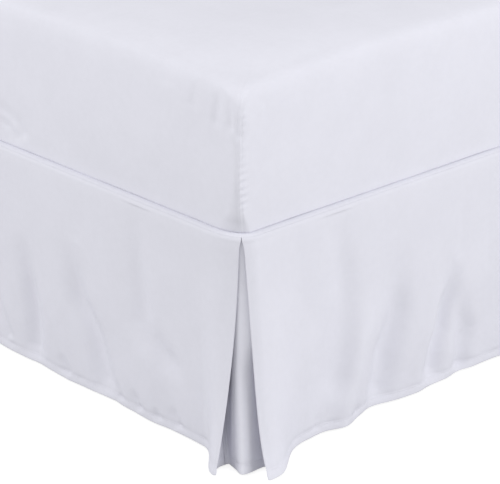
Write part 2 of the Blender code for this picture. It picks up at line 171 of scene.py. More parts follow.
RIGHT_FOLDS = (
    (0.120, 0.006, 0.040, 0.30, 0.020, 1.0),
    (0.150, -0.006, 0.034, 0.05, 0.085, 0.0),
    (0.212, 0.014, 0.030, 0.40, 0.130, 1.0),
    (0.297, -0.013, 0.030, 0.38, 0.135, 0.8),
    (0.405, 0.007, 0.036, 0.30, 0.120, 0.8),
    (0.428, -0.011, 0.020, 0.42, 0.158, 0.3),
    (0.513, -0.009, 0.020, 0.55, 0.030, 0.6),
    (0.580, -0.003, 0.040, 0.50, 0.060, 1.0),
    (0.690, 0.008, 0.044, 0.35, 0.050, 1.0),
    (0.800, -0.009, 0.030, 0.45, 0.120, 0.5),
    (0.915, 0.006, 0.040, 0.30, 0.100, 1.0),
    (1.030, -0.010, 0.030, 0.40, 0.080, 0.6),
    (1.150, 0.005, 0.044, 0.50, -0.050, 1.0),
    (1.270, -0.008, 0.028, 0.35, -0.100, 0.4),
    (1.395, 0.008, 0.040, 0.40, -0.040, 1.0),
    (1.520, -0.009, 0.030, 0.30, 0.110, 0.5),
    (1.650, 0.005, 0.042, 0.45, 0.080, 1.0),
    (1.775, -0.008, 0.030, 0.40, -0.090, 0.5),
    (1.900, 0.006, 0.040, 0.35, -0.030, 1.0),
)
LEFT_FOLDS = (
    (0.140, 0.010, 0.036, 0.35, 0.030, 1.0),
    (0.240, -0.009, 0.028, 0.40, 0.110, 0.6),
    (0.345, 0.009, 0.036, 0.30, 0.060, 1.0),
    (0.455, -0.011, 0.026, 0.45, 0.140, 0.5),
    (0.580, 0.005, 0.044, 0.40, 0.080, 1.0),
    (0.690, -0.008, 0.028, 0.35, -0.080, 0.4),
    (0.815, 0.008, 0.038, 0.30, -0.080, 1.0),
    (0.930, -0.009, 0.026, 0.50, -0.060, 0.6),
    (1.060, 0.006, 0.042, 0.35, 0.050, 1.0),
    (1.180, -0.008, 0.028, 0.40, 0.120, 0.4),
    (1.310, 0.007, 0.040, 0.45, 0.040, 1.0),
    (1.430, -0.010, 0.030, 0.30, -0.100, 0.6),
    (1.560, 0.005, 0.044, 0.50, -0.070, 1.0),
    (1.680, -0.008, 0.026, 0.35, 0.090, 0.4),
    (1.800, 0.007, 0.038, 0.40, 0.070, 1.0),
    (1.920, -0.005, 0.030, 0.45, 0.030, 0.6),
)
FOLD_FADE = 0.25

# Creases of the drops: how deep each is, its half width towards the corner and
# away from it, and its path from top to bottom as (distance from the corner, height). Each
# grows over the first share of its path and ends over the last.
CREASE_GROWTH = 0.50
CREASE_END = 0.13
FOOT_CREASES = (
    (0.0096, 0.020, 0.024, ((0.556, 0.250), (0.550, 0.175), (0.537, 0.120), (0.530, 0.083),
                            (0.530, 0.004))),
    (0.0092, 0.030, 0.026, ((0.424, 0.300), (0.410, 0.217), (0.404, 0.161), (0.379, 0.132),
                            (0.363, 0.108), (0.350, 0.074), (0.342, 0.047), (0.314, 0.004))),
    (0.0070, 0.024, 0.026, ((0.236, 0.430), (0.236, 0.298), (0.234, 0.271), (0.228, 0.218),
                            (0.228, 0.180), (0.212, 0.154), (0.166, 0.130), (0.110, 0.122))),
    (0.0045, 0.010, 0.024, ((0.643, 0.125), (0.628, 0.074), (0.598, 0.022))),
    (0.0012, 0.020, 0.030, ((0.395, 0.340), (0.408, 0.275))),
    (0.0034, 0.009, 0.014, ((0.452, 0.052), (0.438, 0.030), (0.424, 0.012))),
    (0.0032, 0.008, 0.013, ((0.306, 0.046), (0.296, 0.026), (0.286, 0.011))),
    (0.0032, 0.008, 0.013, ((0.252, 0.048), (0.240, 0.028), (0.230, 0.011))),
    (0.0022, 0.006, 0.010, ((0.196, 0.036), (0.188, 0.022), (0.182, 0.010))),
    (0.0034, 0.009, 0.014, ((0.156, 0.050), (0.144, 0.030), (0.132, 0.012))),
    (0.0034, 0.012, 0.026, ((0.905, 0.190), (0.880, 0.110), (0.862, 0.035))),
    (0.0026, 0.012, 0.030, ((0.770, 0.250), (0.748, 0.170), (0.742, 0.120))),
    (0.0036, 0.026, 0.011, ((1.010, 0.210), (1.052, 0.120), (1.080, 0.030))),
    (0.0030, 0.026, 0.012, ((1.190, 0.240), (1.255, 0.140), (1.290, 0.050))),
    (0.0018, 0.024, 0.014, ((1.300, 0.330), (1.330, 0.260), (1.338, 0.190))),
)
RIGHT_CREASES = (
    (0.0092, 0.030, 0.026, ((0.206, 0.430), (0.224, 0.297), (0.229, 0.242), (0.231, 0.205),
                            (0.228, 0.169), (0.222, 0.130), (0.212, 0.090), (0.200, 0.040))),
    (0.0114, 0.032, 0.025, ((0.364, 0.310), (0.356, 0.207), (0.362, 0.166), (0.353, 0.131),
                            (0.337, 0.098), (0.330, 0.062), (0.320, 0.034), (0.302, 0.002))),
    (0.0136, 0.027, 0.021, ((0.498, 0.250), (0.494, 0.167), (0.482, 0.132), (0.475, 0.095),
                            (0.454, 0.063), (0.438, 0.002))),
    (0.0104, 0.018, 0.018, ((0.532, 0.125), (0.541, 0.078), (0.531, 0.045), (0.520, 0.002))),
    (0.0016, 0.010, 0.018, ((0.524, 0.338), (0.520, 0.280), (0.515, 0.220))),
    (0.0016, 0.012, 0.020, ((0.592, 0.345), (0.592, 0.250), (0.592, 0.170))),
    (0.0020, 0.006, 0.010, ((0.166, 0.044), (0.156, 0.028), (0.150, 0.011))),
    (0.0018, 0.005, 0.009, ((0.254, 0.036), (0.248, 0.024), (0.244, 0.010))),
    (0.0034, 0.012, 0.024, ((0.735, 0.215), (0.722, 0.130), (0.700, 0.040))),
    (0.0038, 0.012, 0.024, ((0.868, 0.190), (0.842, 0.110), (0.818, 0.030))),
    (0.0030, 0.012, 0.026, ((1.085, 0.240), (1.060, 0.150), (1.046, 0.050))),
    (0.0038, 0.022, 0.012, ((1.205, 0.200), (1.240, 0.110), (1.262, 0.025))),
    (0.0026, 0.014, 0.028, ((1.470, 0.260), (1.455, 0.180), (1.462, 0.110))),
    (0.0040, 0.012, 0.024, ((1.596, 0.220), (1.560, 0.130), (1.536, 0.030))),
    (0.0034, 0.024, 0.012, ((1.720, 0.180), (1.752, 0.100), (1.768, 0.030))),
    (0.0020, 0.016, 0.024, ((1.885, 0.300), (1.872, 0.200), (1.880, 0.120))),
)
LEFT_CREASES = (
    (0.0038, 0.014, 0.028, ((0.300, 0.230), (0.278, 0.140), (0.258, 0.035))),
    (0.0054, 0.013, 0.024, ((0.545, 0.200), (0.515, 0.120), (0.476, 0.020))),
    (0.0022, 0.014, 0.026, ((0.420, 0.330), (0.408, 0.240), (0.416, 0.170))),
    (0.0036, 0.024, 0.012, ((0.640, 0.220), (0.668, 0.120), (0.686, 0.030))),
    (0.0040, 0.022, 0.012, ((0.885, 0.190), (0.906, 0.110), (0.924, 0.022))),
    (0.0024, 0.014, 0.028, ((1.120, 0.290), (1.104, 0.200), (1.108, 0.130))),
    (0.0038, 0.012, 0.024, ((1.245, 0.230), (1.215, 0.130), (1.196, 0.040))),
    (0.0038, 0.024, 0.012, ((1.372, 0.210), (1.400, 0.120), (1.424, 0.026))),
    (0.0030, 0.012, 0.026, ((1.735, 0.250), (1.712, 0.150), (1.694, 0.050))),
    (0.0022, 0.014, 0.024, ((1.950, 0.210), (1.936, 0.130), (1.930, 0.050))),
)

# The hem: the stitch line pulls the cloth in, more so at some puckers. A pucker is its place
# along the hem, its half width and how many times deeper it is there.
HEM_TUCK = 0.0009
HEM_TUCK_REACH = 0.0052
HEM_STEP = 0.0004
# The turned band's step: how far above the stitch line it starts, and its softness; and the
# groove under the line: its share of the step, how far down it lies, and its half width
HEM_STEP_ABOVE = 0.0008
HEM_STEP_SOFTNESS = 0.0012
HEM_GROOVE = 0.6
HEM_GROOVE_DOWN = 0.0012
HEM_GROOVE_WIDTH = 0.0007
# Puckers past the last one listed: how many, and the least and most of their spacing,
# half width and times
MORE_PUCKERS = 40
PUCKER_SPACING = (0.045, 0.090)
PUCKER_WIDTHS = (0.009, 0.016)
PUCKER_TIMES = (0.6, 1.9)
# Stitches: share of their spacing that they fill, their width, the steps along one and the
# points around it, how far its ends taper, and how far it stands out, in widths
STITCH_SHARE = 0.78
STITCH_WIDTH = 0.00045
STITCH_STEPS = 6
STITCH_SIDES = 5
STITCH_TAPER = 0.94
STITCH_RISE = 0.35
FOOT_PUCKERS = (
    (0.064, 0.016, 1.2), (0.130, 0.014, 1.8), (0.187, 0.011, 1.9), (0.235, 0.010, 1.5),
    (0.288, 0.012, 1.9), (0.350, 0.014, 1.0), (0.398, 0.009, 1.3), (0.443, 0.012, 2.1),
    (0.520, 0.016, 0.8), (0.600, 0.014, 1.6),
)
SIDE_PUCKERS = (
    (0.092, 0.012, 1.2), (0.140, 0.018, 1.5), (0.188, 0.016, 1.4), (0.246, 0.012, 1.9),
    (0.330, 0.016, 1.2), (0.402, 0.010, 0.7), (0.462, 0.014, 1.3), (0.546, 0.012, 1.2),
)

# Rows of the drops, from the seam down: below the roll's centre, from, to and step
ROLL_STEP = 3.4
UPPER_ROWS = ((0.0, 0.040, 0.0034), (0.040, 0.300, 0.0060))
# ... and above the hem, from, to and step
LOWER_ROWS = ((0.0, 0.004, 0.0011), (0.004, 0.009, 0.0017), (0.009, 0.0165, 0.0009),
              (0.0165, 0.038, 0.0022), (0.038, 0.084, 0.0042))
# Columns, from a pleat along a drop: from, to and step
PLEAT_COLUMNS = ((0.0, 0.120, 0.0028), (0.120, 0.700, 0.0041), (0.700, 2.100, 0.0076))
LOOP_COLUMNS = 11
BACK_COLUMNS = 13
STRIP_COLUMNS = 73
# The least distance between the upper and the lower rows, and between two spans of columns
ROW_CLEARANCE = 0.003
COLUMN_CLEARANCE = 0.004
# Near a pleat a drop has no relief: how far that reaches, and over what distance it comes in.
# A fold-back's unevenness runs on from the drop's by this much a column.
PLAIN_REACH = 0.010
PLAIN_FADE = 0.040
BACK_STEP = 0.003

# The deck: how far from the foot along a side, and from a pleat along the foot, its columns are
# close together; their steps along the sides, there, and along the rest of the foot; its rows
DECK_NEAR_SIDE = 0.2
DECK_NEAR_FOOT = 0.16
DECK_STEPS = (0.020, 0.0035, 0.012)
DECK_ROWS = 25

# The mattress in its fitted cover, from the bottom up: height, how far it is drawn in from the
# bed's edge, the share of the deck's corner rounding that it keeps, and what it adds to that
MATTRESS_RINGS = (
    (-0.0002, 0.0007, 1.00, 0.000),
    (0.0006, 0.0001, 1.00, 0.000),
    (0.0020, -0.0002, 0.97, 0.000),
    (0.0160, -0.0008, 0.78, 0.001),
    (0.0420, -0.0025, 0.36, 0.003),
    (0.1100, -0.0048, 0.14, 0.005),
    (0.2150, -0.0010, 0.14, 0.009),
    (0.2440, 0.0040, 0.20, 0.016),
    (0.2555, 0.0110, 0.35, 0.027),
    (0.2610, 0.0230, 0.60, 0.040),
    (0.2660, 0.0560, 0.85, 0.067),
    (0.2720, 0.1500, 1.00, 0.122),
)
# Its corners droop: by what share of the height, how far round, and over how many of the last
# rows of the table that fades out
CORNER_DROOP = 0.065
DROOP_REACH = 0.220
DROOP_ROWS = 1.6
# The cover's rows, by shares of them that reach some rings of the table; its rows over the top;
# its columns over each corner, and over half a side as shares of it, from the corner
COVER_ROWS = 130
COVER_ROW_SHARES = (0.0, 0.08, 0.62, 0.74, 1.0)
COVER_ROW_RINGS = (0.0, 3.0, 6.0, 7.5, 11.0)
TOP_ROWS = 20
COVER_CORNER_STEPS = 36
FOOT_COLUMNS = ((0.0, 0.14, 0.005), (0.14, 0.66, 0.020), (0.66, 0.88, 0.0065), (0.88, 1.0, 0.020))
SIDE_COLUMNS = ((0.0, 0.06, 0.004), (0.06, 1.0, 0.032))

# Puckers and creases of the fitted cover near a foot corner, as the drops' creases; distances
# run from the corner seam, and are negative on the foot face
COVER_CREASES = (
    (0.0030, 0.007, 0.012, ((-0.016, 0.655), (-0.020, 0.625), (-0.018, 0.570))),
    (0.0022, 0.006, 0.010, ((-0.004, 0.635), (-0.003, 0.605), (-0.004, 0.560))),
    (0.0026, 0.007, 0.012, ((-0.034, 0.652), (-0.050, 0.616), (-0.058, 0.570))),
    (0.0018, 0.007, 0.014, ((-0.085, 0.652), (-0.104, 0.622), (-0.112, 0.590))),
    (0.0026, 0.007, 0.014, ((-0.205, 0.668), (-0.190, 0.645), (-0.172, 0.612))),
    (0.0030, 0.008, 0.014, ((-0.660, 0.472), (-0.600, 0.460), (-0.570, 0.446), (-0.546, 0.416))),
    (0.0026, 0.007, 0.014, ((-0.640, 0.444), (-0.596, 0.434), (-0.566, 0.410))),
    (0.0008, 0.008, 0.016, ((0.020, 0.640), (0.034, 0.622), (0.058, 0.606))),
    (0.0006, 0.008, 0.014, ((0.014, 0.622), (0.024, 0.604), (0.040, 0.590))),
)
# How far round a ring from a corner seam its creases reach
CREASE_REACH = 0.75
# Where the cover's corner seam lies on a foot corner, as a share of it, and its ridge; the
# grooves beside it, as a share of its height, and how many of its half widths away; and how far
# under the mattress's top it ends, and over what height
SEAM_SHARE = 0.66
SEAM_RIDGE = 0.0006
SEAM_RIDGE_WIDTH = 0.0016
SEAM_GROOVE = 0.6
SEAM_GROOVE_AT = 2.4
SEAM_END = 0.012
SEAM_FADE = 0.03
# The gathers beside the seam: height, pitch, how far beside it, how wide, between which heights,
# over what height they fade, and how they lean
SCALLOP = 0.0014
SCALLOP_PITCH = 0.0130
SCALLOP_AT = 0.007
SCALLOP_REACH = 0.006
SCALLOP_HEIGHTS = (0.430, 0.620)
SCALLOP_FADE = 0.03
SCALLOP_LEAN = 0.3
# The cover's unevenness: where its wall ends under the top, over what height, and the shares of
# the cloth's unevenness that its wall and its top have
WALL_END = 0.004
WALL_FADE = 0.016
WALL_RIPPLES = 0.6
TOP_RIPPLES = 0.5

# Soft unevenness of hanging cloth: wavelength along it, wavelength down it, and height
RIPPLES = ((0.310, 0.420, 0.0012), (0.170, 0.260, 0.0008), (0.090, 0.150, 0.0004),
           (0.047, 0.080, 0.00016))
# Waves of each, how far their lengths vary, how far they lean, and how far their phase is bent,
# over how many of their lengths
RIPPLE_WAVES = 3
RIPPLE_SPREAD = (0.8, 1.3)
RIPPLE_LEAN = 0.6
RIPPLE_BEND = 1.3
BEND_LENGTH = 1.7
# Seeds of the unevenness: the foot drop's, the side drops', and the cover's on its sides and top.
# A drop's further puckers have its seed plus a step, and the pleats have their own.
FOOT_SEED = 11
RIGHT_SEED = 12
LEFT_SEED = 13
PUCKER_SEED_STEP = 10
PLEAT_PUCKER_SEED = 31
COVER_SEEDS = (41, 43)

# The camera: where it stands, how it looks, its lens in millimetres, and how far it sees
CAMERA_PLACE = (3.39398, -3.39788, 1.83878)
CAMERA_AZIMUTH = 47.11
CAMERA_ELEVATION = 22.05
CAMERA_LENS = 172.8
CAMERA_REACH = 200.0

# Two softboxes: azimuth, elevation, and power in watts; how far they stand from the corner that
# faces the camera, and their size
SOFTBOXES = ((-28.0, 32.0, 111.0), (113.0, 26.0, 127.0))
SOFTBOX_AIM = (0.762, -0.9785, 0.30)
SOFTBOX_DISTANCE = 5.0
SOFTBOX_SIZE = 3.3
SKY_STRENGTH = 0.678
FLOOR_SIZE = 60.0
FLOOR_DEPTH = 0.0006
# The floor's white face: its grey, and its own light
FLOOR_FACE_GREY = (0.3, 0.3, 0.3)
FLOOR_FACE_GLOW = 0.86


def linear(hex_colour):
    """Linear RGB of an sRGB hex colour."""
    values = np.array([int(hex_colour[k : k + 2], 16) for k in (1, 3, 5)]) / 255.0
    dark = values / 12.92
    bright = ((values + 0.055) / 1.055) ** 2.4
    return tuple(float(v) for v in np.where(values <= 0.04045, dark, bright))


def smooth(x):
    """Smooth step: 0 below 0, 1 above 1, and 3x^2 - 2x^3 between them."""
    x = np.clip(x, 0.0, 1.0)
    return x * x * (3.0 - 2.0 * x)


def step_over(x, span):
    """A smooth step from 0 at a span's start to 1 at its end."""
    low, high = span
    return smooth((x - low) / (high - low))


def soft_line(x, at, values):
    """A curve through points that never overshoots them.

    Between two points it is the cubic with the slopes there, and the slope at a point is the
    harmonic mean of the slopes beside it, or level where they differ in sign.
    """
    at, values = np.asarray(at, float), np.asarray(values, float)
    step = np.diff(at)
    rise = np.diff(values) / step
    slope = np.concatenate([rise[:1], np.zeros(len(rise) - 1), rise[-1:]])
    product = rise[:-1] * rise[1:]
    total = np.where(product > 0, rise[:-1] + rise[1:], 1.0)
    slope[1:-1] = np.where(product > 0, 2.0 * product / total, 0.0)
    x = np.clip(x, at[0], at[-1])
    k = np.clip(np.searchsorted(at, x) - 1, 0, len(step) - 1)
    t = (x - at[k]) / step[k]
    return ((2 * t**3 - 3 * t**2 + 1) * values[k] + (3 * t**2 - 2 * t**3) * values[k + 1]
            + (t**3 - 2 * t**2 + t) * step[k] * slope[k]
            + (t**3 - t**2) * step[k] * slope[k + 1])


def graded(*spans):
    """Rising values over spans of (from, to, step), each span in equal steps."""
    parts = [np.linspace(low, high, max(2, round((high - low) / step) + 1))
             for low, high, step in spans]
    return np.unique(np.concatenate(parts).round(7))


def build_edge():
    """The bed's edge in plan, from the head's right end round the foot to the head's left end.

    Each foot corner is a quarter of an ellipse. Returns points, outward normals, the distance
    along the line at each point, and the distance at which the right pleat opens.
    """
    angle = np.linspace(90.0, 0.0, CORNER_POINTS)
    angle_rad = np.radians(angle)
    corner = np.stack([HALF_WIDTH - FOOT_CORNER_ACROSS * (1.0 - np.sin(angle_rad)),
                       FOOT_Y + FOOT_CORNER_ALONG * (1.0 - np.cos(angle_rad))], axis=1)
    facing = np.stack([FOOT_CORNER_ALONG * np.sin(angle_rad),
                       -FOOT_CORNER_ACROSS * np.cos(angle_rad)], axis=1)
    half = np.vstack([[HALF_WIDTH, HEAD_Y], corner])
    half_normal = np.vstack([[1.0, 0.0], facing])
    mirror = np.array([-1.0, 1.0])
    points = np.vstack([half, half[::-1] * mirror])
    normals = np.vstack([half_normal, half_normal[::-1] * mirror])
    normals /= np.linalg.norm(normals, axis=1)[:, None]
    steps = np.linalg.norm(np.diff(points, axis=0), axis=1)
    distance = np.concatenate([[0.0], np.cumsum(steps)])
    right_pleat = np.interp(-PLEAT_ANGLE, -angle, distance[1 : CORNER_POINTS + 1])
    return points, normals, distance, right_pleat


EDGE_POINTS, EDGE_NORMALS, EDGE_DISTANCE, RIGHT_PLEAT = build_edge()
EDGE_LENGTH = EDGE_DISTANCE[-1]


def edge_at(distance):
    """Points and unit outward normals of the bed's edge at some distances along it."""
    point = np.stack([np.interp(distance, EDGE_DISTANCE, EDGE_POINTS[:, k]) for k in (0, 1)], -1)
    normal = np.stack([np.interp(distance, EDGE_DISTANCE, EDGE_NORMALS[:, k]) for k in (0, 1)], -1)
    return point, normal / np.linalg.norm(normal, axis=-1)[..., None]


def pinched(distance, depth):
    """Distances along the edge, as columns by rows, drawn in to a pleat's middle at the seam.

    The draw is a bell of the distance from that middle, times a bell of the depth.
    """
    moved = np.broadcast_to(distance[:, None], (len(distance), len(depth))).copy()
    for middle in (RIGHT_PLEAT, EDGE_LENGTH - RIGHT_PLEAT):
        off = distance - middle
        draw = np.sign(off) * PINCH * np.exp(-((off / PINCH_ACROSS) ** 2))
        moved -= draw[:, None] * np.exp(-((depth / PINCH_DOWN) ** 2))[None, :]
    return moved


def place(face, run, out):
    """Plan points at the right corner: a run along a face, and a distance out from it."""
    run, out = np.broadcast_arrays(run, out)
    if face == "foot":
        return np.stack([HALF_WIDTH - run, FOOT_Y - out], axis=-1)
    return np.stack([HALF_WIDTH + out, FOOT_Y + run], axis=-1)


def swing(run, hem):
    """How far the hem swings out near a pleat: a smooth step over the last of its run.

    The step's share t is taken as t plus the belly times the sine of half a turn times t^3.
    """
    share = np.clip((hem["from"] - run) / (hem["from"] - hem["tip"]), 0.0, 1.0)
    return hem["flare"] * smooth(share + hem["belly"] * np.sin(math.pi * share**3))


def fold_relief(run, share, folds):
    """Sum of the folds: bells across the run that grow down the drop, then ease at the hem."""
    relief = np.zeros(np.broadcast(run, share).shape)
    full = 1.0 - FOLD_FADE
    for row in folds:
        fold = dict(zip(FOLD_NAMES, row))
        middle = fold["at"] + fold["lean"] * (1.0 - share)
        bell = np.exp(-(((run - middle) / fold["width"]) ** 2))
        grown = smooth((share - fold["start"]) / (full - fold["start"]))
        eased = 1.0 - (1.0 - fold["at_hem"]) * smooth((share - full) / FOLD_FADE)
        relief += fold["out"] * bell * grown * eased
    return relief


def crease_relief(run, height, creases):
    """Sum of soft troughs along given paths.

    At a point whose nearest place on a path is a share t along it and d away, a trough is
    -depth * exp(-(d / width)^2), where width is the near or the far one by the side the point
    is on, times a smooth step up over the first half of t and down over the last part.
    """
    relief = np.zeros(np.broadcast(run, height).shape)
    for depth, near, far, path in creases:
        path = np.array(path)
        legs = np.diff(path, axis=0)
        lengths = np.linalg.norm(legs, axis=1)
        starts = np.concatenate([[0.0], np.cumsum(lengths)[:-1]])
        best = np.full(relief.shape, np.inf)
        along = np.zeros(relief.shape)
        side = np.zeros(relief.shape)
        for (r0, h0), (dr, dh), length, start in zip(path[:-1], legs, lengths, starts):
            t = np.clip(((run - r0) * dr + (height - h0) * dh) / length**2, 0.0, 1.0)
            off_r, off_h = run - r0 - t * dr, height - h0 - t * dh
            away = np.hypot(off_r, off_h)
            closer = away < best
            best = np.where(closer, away, best)
            along = np.where(closer, start + t * length, along)
            side = np.where(closer, off_r * -dh + off_h * dr, side)
        along /= lengths.sum()
        width = np.where(side > 0, far, near)
        grown = smooth(along / CREASE_GROWTH) * smooth((1.0 - along) / CREASE_END)
        relief -= depth * np.exp(-((best / width) ** 2)) * grown
    return relief


def ripple_relief(run, height, seed):
    """Soft unevenness: a sum of products of two sines with seeded phases and bent phases."""
    draw = np.random.default_rng(seed)
    relief = np.zeros(np.broadcast(run, height).shape)
    for along, down, size in RIPPLES:
        for _ in range(RIPPLE_WAVES):
            phase = draw.uniform(0.0, TURN, 4)
            wave = along * draw.uniform(*RIPPLE_SPREAD)
            fall = down * draw.uniform(*RIPPLE_SPREAD)
            lean = draw.uniform(-RIPPLE_LEAN, RIPPLE_LEAN)
            bend = RIPPLE_BEND * np.sin(TURN * height / (BEND_LENGTH * fall) + phase[2])
            sideways = np.sin(TURN * (run + lean * height) / wave + phase[0] + bend)
            relief += size / 2 * (sideways * np.sin(TURN * height / fall + phase[1]))
    return relief


def hem_relief(run, height, puckers, seed, sizes):
    """The hem: a tuck at its stitch line, deeper at puckers, and the turned cloth's thickness.

    The tuck is a bell down the cloth around the stitch line, times 1 plus the sum of the
    puckers' bells along it. The step is a smooth one at the top of the turned band, and a
    narrow bell-shaped groove lies under the line.
    """
    above = height - sizes.hem_clearance
    stitch = sizes.hem_band
    draw = np.random.default_rng(seed)
    last = max(place_along for place_along, _, _ in puckers)
    more = np.cumsum(draw.uniform(*PUCKER_SPACING, MORE_PUCKERS)) + last
    widths = draw.uniform(*PUCKER_WIDTHS, MORE_PUCKERS)
    spread = [*puckers, *zip(more, widths, draw.uniform(*PUCKER_TIMES, MORE_PUCKERS))]
    pull = np.full(np.shape(run), 1.0)
    for at, width, times in spread:
        pull = pull + times * np.exp(-(((run - at) / width) ** 2))
    tuck = -HEM_TUCK * pull * np.exp(-(((above - stitch) / HEM_TUCK_REACH) ** 2))
    step = HEM_STEP * (1.0 - smooth((above - stitch - HEM_STEP_ABOVE) / HEM_STEP_SOFTNESS))
    groove = np.exp(-(((above - stitch + HEM_GROOVE_DOWN) / HEM_GROOVE_WIDTH) ** 2))
    return tuck + step - HEM_GROOVE * HEM_STEP * groove


def grid_normals(points):
    """Unit normals of a grid of points, from the cross product of its two directions."""
    along, down = np.gradient(points, axis=0), np.gradient(points, axis=1)
    normals = np.cross(along, down)
    return normals / np.maximum(np.linalg.norm(normals, axis=2), 1e-12)[..., None]


def drop_rows(sizes):
    """Roll angles of the first rows, and below them the shares of the drop down to the hem."""
    drop = ROLL_CENTRE_Z - sizes.hem_clearance
    upper = graded(*UPPER_ROWS)
    lower = drop - graded(*LOWER_ROWS)[::-1]
    heights = np.concatenate([upper[upper < lower[0] - ROW_CLEARANCE], lower])
    angles = np.arange(SEAM_ANGLE, 90.0, ROLL_STEP)
    return angles, heights / drop


def hang(distance, layer, hem_line, opening, sizes, relief=None, pinch=True):
    """Points of a hanging cloth, as columns by rows.

    Each column starts at the seam on the bed's edge and turns over the edge on a roll whose
    radius is its layer's, a little less at the seam. From there it moves to its place on the
    hem line as it drops, plus the bulge of the seam allowance under it, which is the
    difference of two exponentials of the depth.
    """
    angles, shares = drop_rows(sizes)
    turn = np.radians(angles)
    drop = ROLL_CENTRE_Z - sizes.hem_clearance
    depth = shares * drop
    fallen = np.concatenate([EDGE_ROLL * (math.cos(turn[0]) - np.cos(turn)),
                             EDGE_ROLL * math.cos(turn[0]) + depth])
    columns = pinched(distance, fallen) if pinch else np.tile(distance[:, None], len(fallen))
    seam, normal = edge_at(columns)
    rolled = len(angles)
    radius = layer[:, None] - SEAM_DIP * np.exp(-(((angles - SEAM_ANGLE) / SEAM_DIP_REACH) ** 2))
    plan = seam[:, :rolled] + normal[:, :rolled] * (radius * np.sin(turn))[..., None]
    roll = np.dstack([plan, ROLL_CENTRE_Z + radius * np.cos(turn)])
    start = seam[:, rolled:] + normal[:, rolled:] * layer[:, None, None]
    plan = start + (hem_line[:, None, :] - start) * opening(shares)[..., None]
    bulge = SEAM_BULGE * (np.exp(-depth / SEAM_BULGE_REACH) - np.exp(-depth / SEAM_BULGE_START))
    plan = plan + normal[:, rolled:] * bulge[None, :, None]
    height = np.broadcast_to(ROLL_CENTRE_Z - depth, plan.shape[:2])
    if relief is not None:
        plan = plan + relief(shares[None, :], height)
    return np.concatenate([roll, np.dstack([plan, height])], axis=1)


def mirrored(points):
    """The same points on the other side of the bed."""
    return points * np.array([-1.0, 1.0, 1.0])[: points.shape[-1]]


def fold_back(face):
    """Columns of a drop's fold-back at the right corner, from its inner edge to the fold.

    The fold is half an ellipse in plan, tight at the seam and a soft loop at the hem. Behind
    it the cloth runs to the pleat's inner fold, bent in at the hem by half a sine. Returns the
    columns' distances along the edge, their layers and their hem points.
    """
    hem, away = (FOOT_HEM, 1.0) if face == "foot" else (SIDE_HEM, -1.0)
    beyond_foot, beyond_side = FOOT_INNER_FOLD if face == "foot" else SIDE_INNER_FOLD
    fold = RIGHT_PLEAT + away * PLEAT_OPENING / 2
    tip_out = hem["out"] + hem["flare"]
    angle = np.linspace(1.5 * math.pi, 0.5 * math.pi, LOOP_COLUMNS)[:-1]
    loop_distance = fold + away * LAYER / 2 * np.cos(angle)
    loop_layer = EDGE_ROLL - LAYER / 2 * (1.0 - np.sin(angle))
    loop_hem = place(face, hem["tip"] + hem["roll"] * (1.0 + np.cos(angle)),
                     tip_out - hem["sag"] * (1.0 - np.sin(angle)))
    depth = np.linspace(1.0, 0.0, BACK_COLUMNS, endpoint=False)
    inner = np.array([HALF_WIDTH + beyond_side, FOOT_Y - beyond_foot])
    back_distance = fold + away * PLEAT_DEPTH * depth
    back_layer = np.full(BACK_COLUMNS, EDGE_ROLL - LAYER)
    back_hem = loop_hem[0] + (inner - loop_hem[0]) * depth[:, None]
    back_hem[:, 0] -= hem["bow"] * np.sin(math.pi * depth)
    return (np.concatenate([back_distance, loop_distance]),
            np.concatenate([back_layer, loop_layer]), np.vstack([back_hem, loop_hem]))


def opening_of(closeness, hem):
    """How columns open on their way down; closeness is 1 at a pleat and 0 far from it.

    A column has moved (1 - flick) * share^power + flick * share^9 of its way to the hem line.
    """
    power = 1.0 + (hem["power"] - 1.0) * closeness[:, None]
    flick = hem["flick"] * closeness[:, None]
    return lambda share: (1.0 - flick) * share**power + flick * share**FLICK_POWER


def drop_relief(run, free, direction, folds, creases, seed):
    """Relief of a drop: its folds, creases and unevenness, in the direction its face looks.

    The unevenness comes in over the upper half. free is each column's share of the relief.
    """
    def relief(share, height):
        column = run[:, None]
        out = fold_relief(column, share, folds) + crease_relief(column, height, creases)
        out = out + smooth(2.0 * share) * ripple_relief(column, height, seed)
        return (out * free[:, None])[..., None] * np.array(direction)
    return relief


def side_sheet(folds, creases, seed, sizes):
    """A side drop at the right of the bed, from the head end to the pleat, then folded back.

    Returns its points as columns by rows, and each column's distance from the corner.
    """
    fold = RIGHT_PLEAT - PLEAT_OPENING / 2
    columns = graded(*PLEAT_COLUMNS)
    end = fold - HEAD_END
    from_pleat = np.append(columns[columns < end - COLUMN_CLEARANCE], end)[::-1]
    seam, _ = edge_at(fold - from_pleat)
    closeness = np.exp(-((from_pleat / CORNER_FADE) ** 2))
    run = seam[:, 1] - FOOT_Y
    run = run + (SIDE_HEM["tip"] + SIDE_HEM["roll"] - run[-1]) * closeness
    back_distance, back_layer, back_hem = (part[::-1] for part in fold_back("side"))
    distance = np.concatenate([fold - from_pleat, back_distance])
    layer = np.concatenate([np.full(len(run), EDGE_ROLL), back_layer])
    hem_line = np.vstack([place("side", run, SIDE_HEM["out"] + swing(run, SIDE_HEM)), back_hem])
    closeness = np.append(closeness, np.ones(len(back_layer)))
    free = smooth((from_pleat - PLAIN_REACH) / PLAIN_FADE)
    free = np.concatenate([free, np.zeros(len(back_layer))])
    runs = np.append(run, run[-1] - np.cumsum(np.full(len(back_layer), BACK_STEP)))
    relief = drop_relief(runs, free, (1.0, 0.0), folds, creases, seed)
    points = hang(distance, layer, hem_line, opening_of(closeness, SIDE_HEM), sizes, relief)
    return points, runs


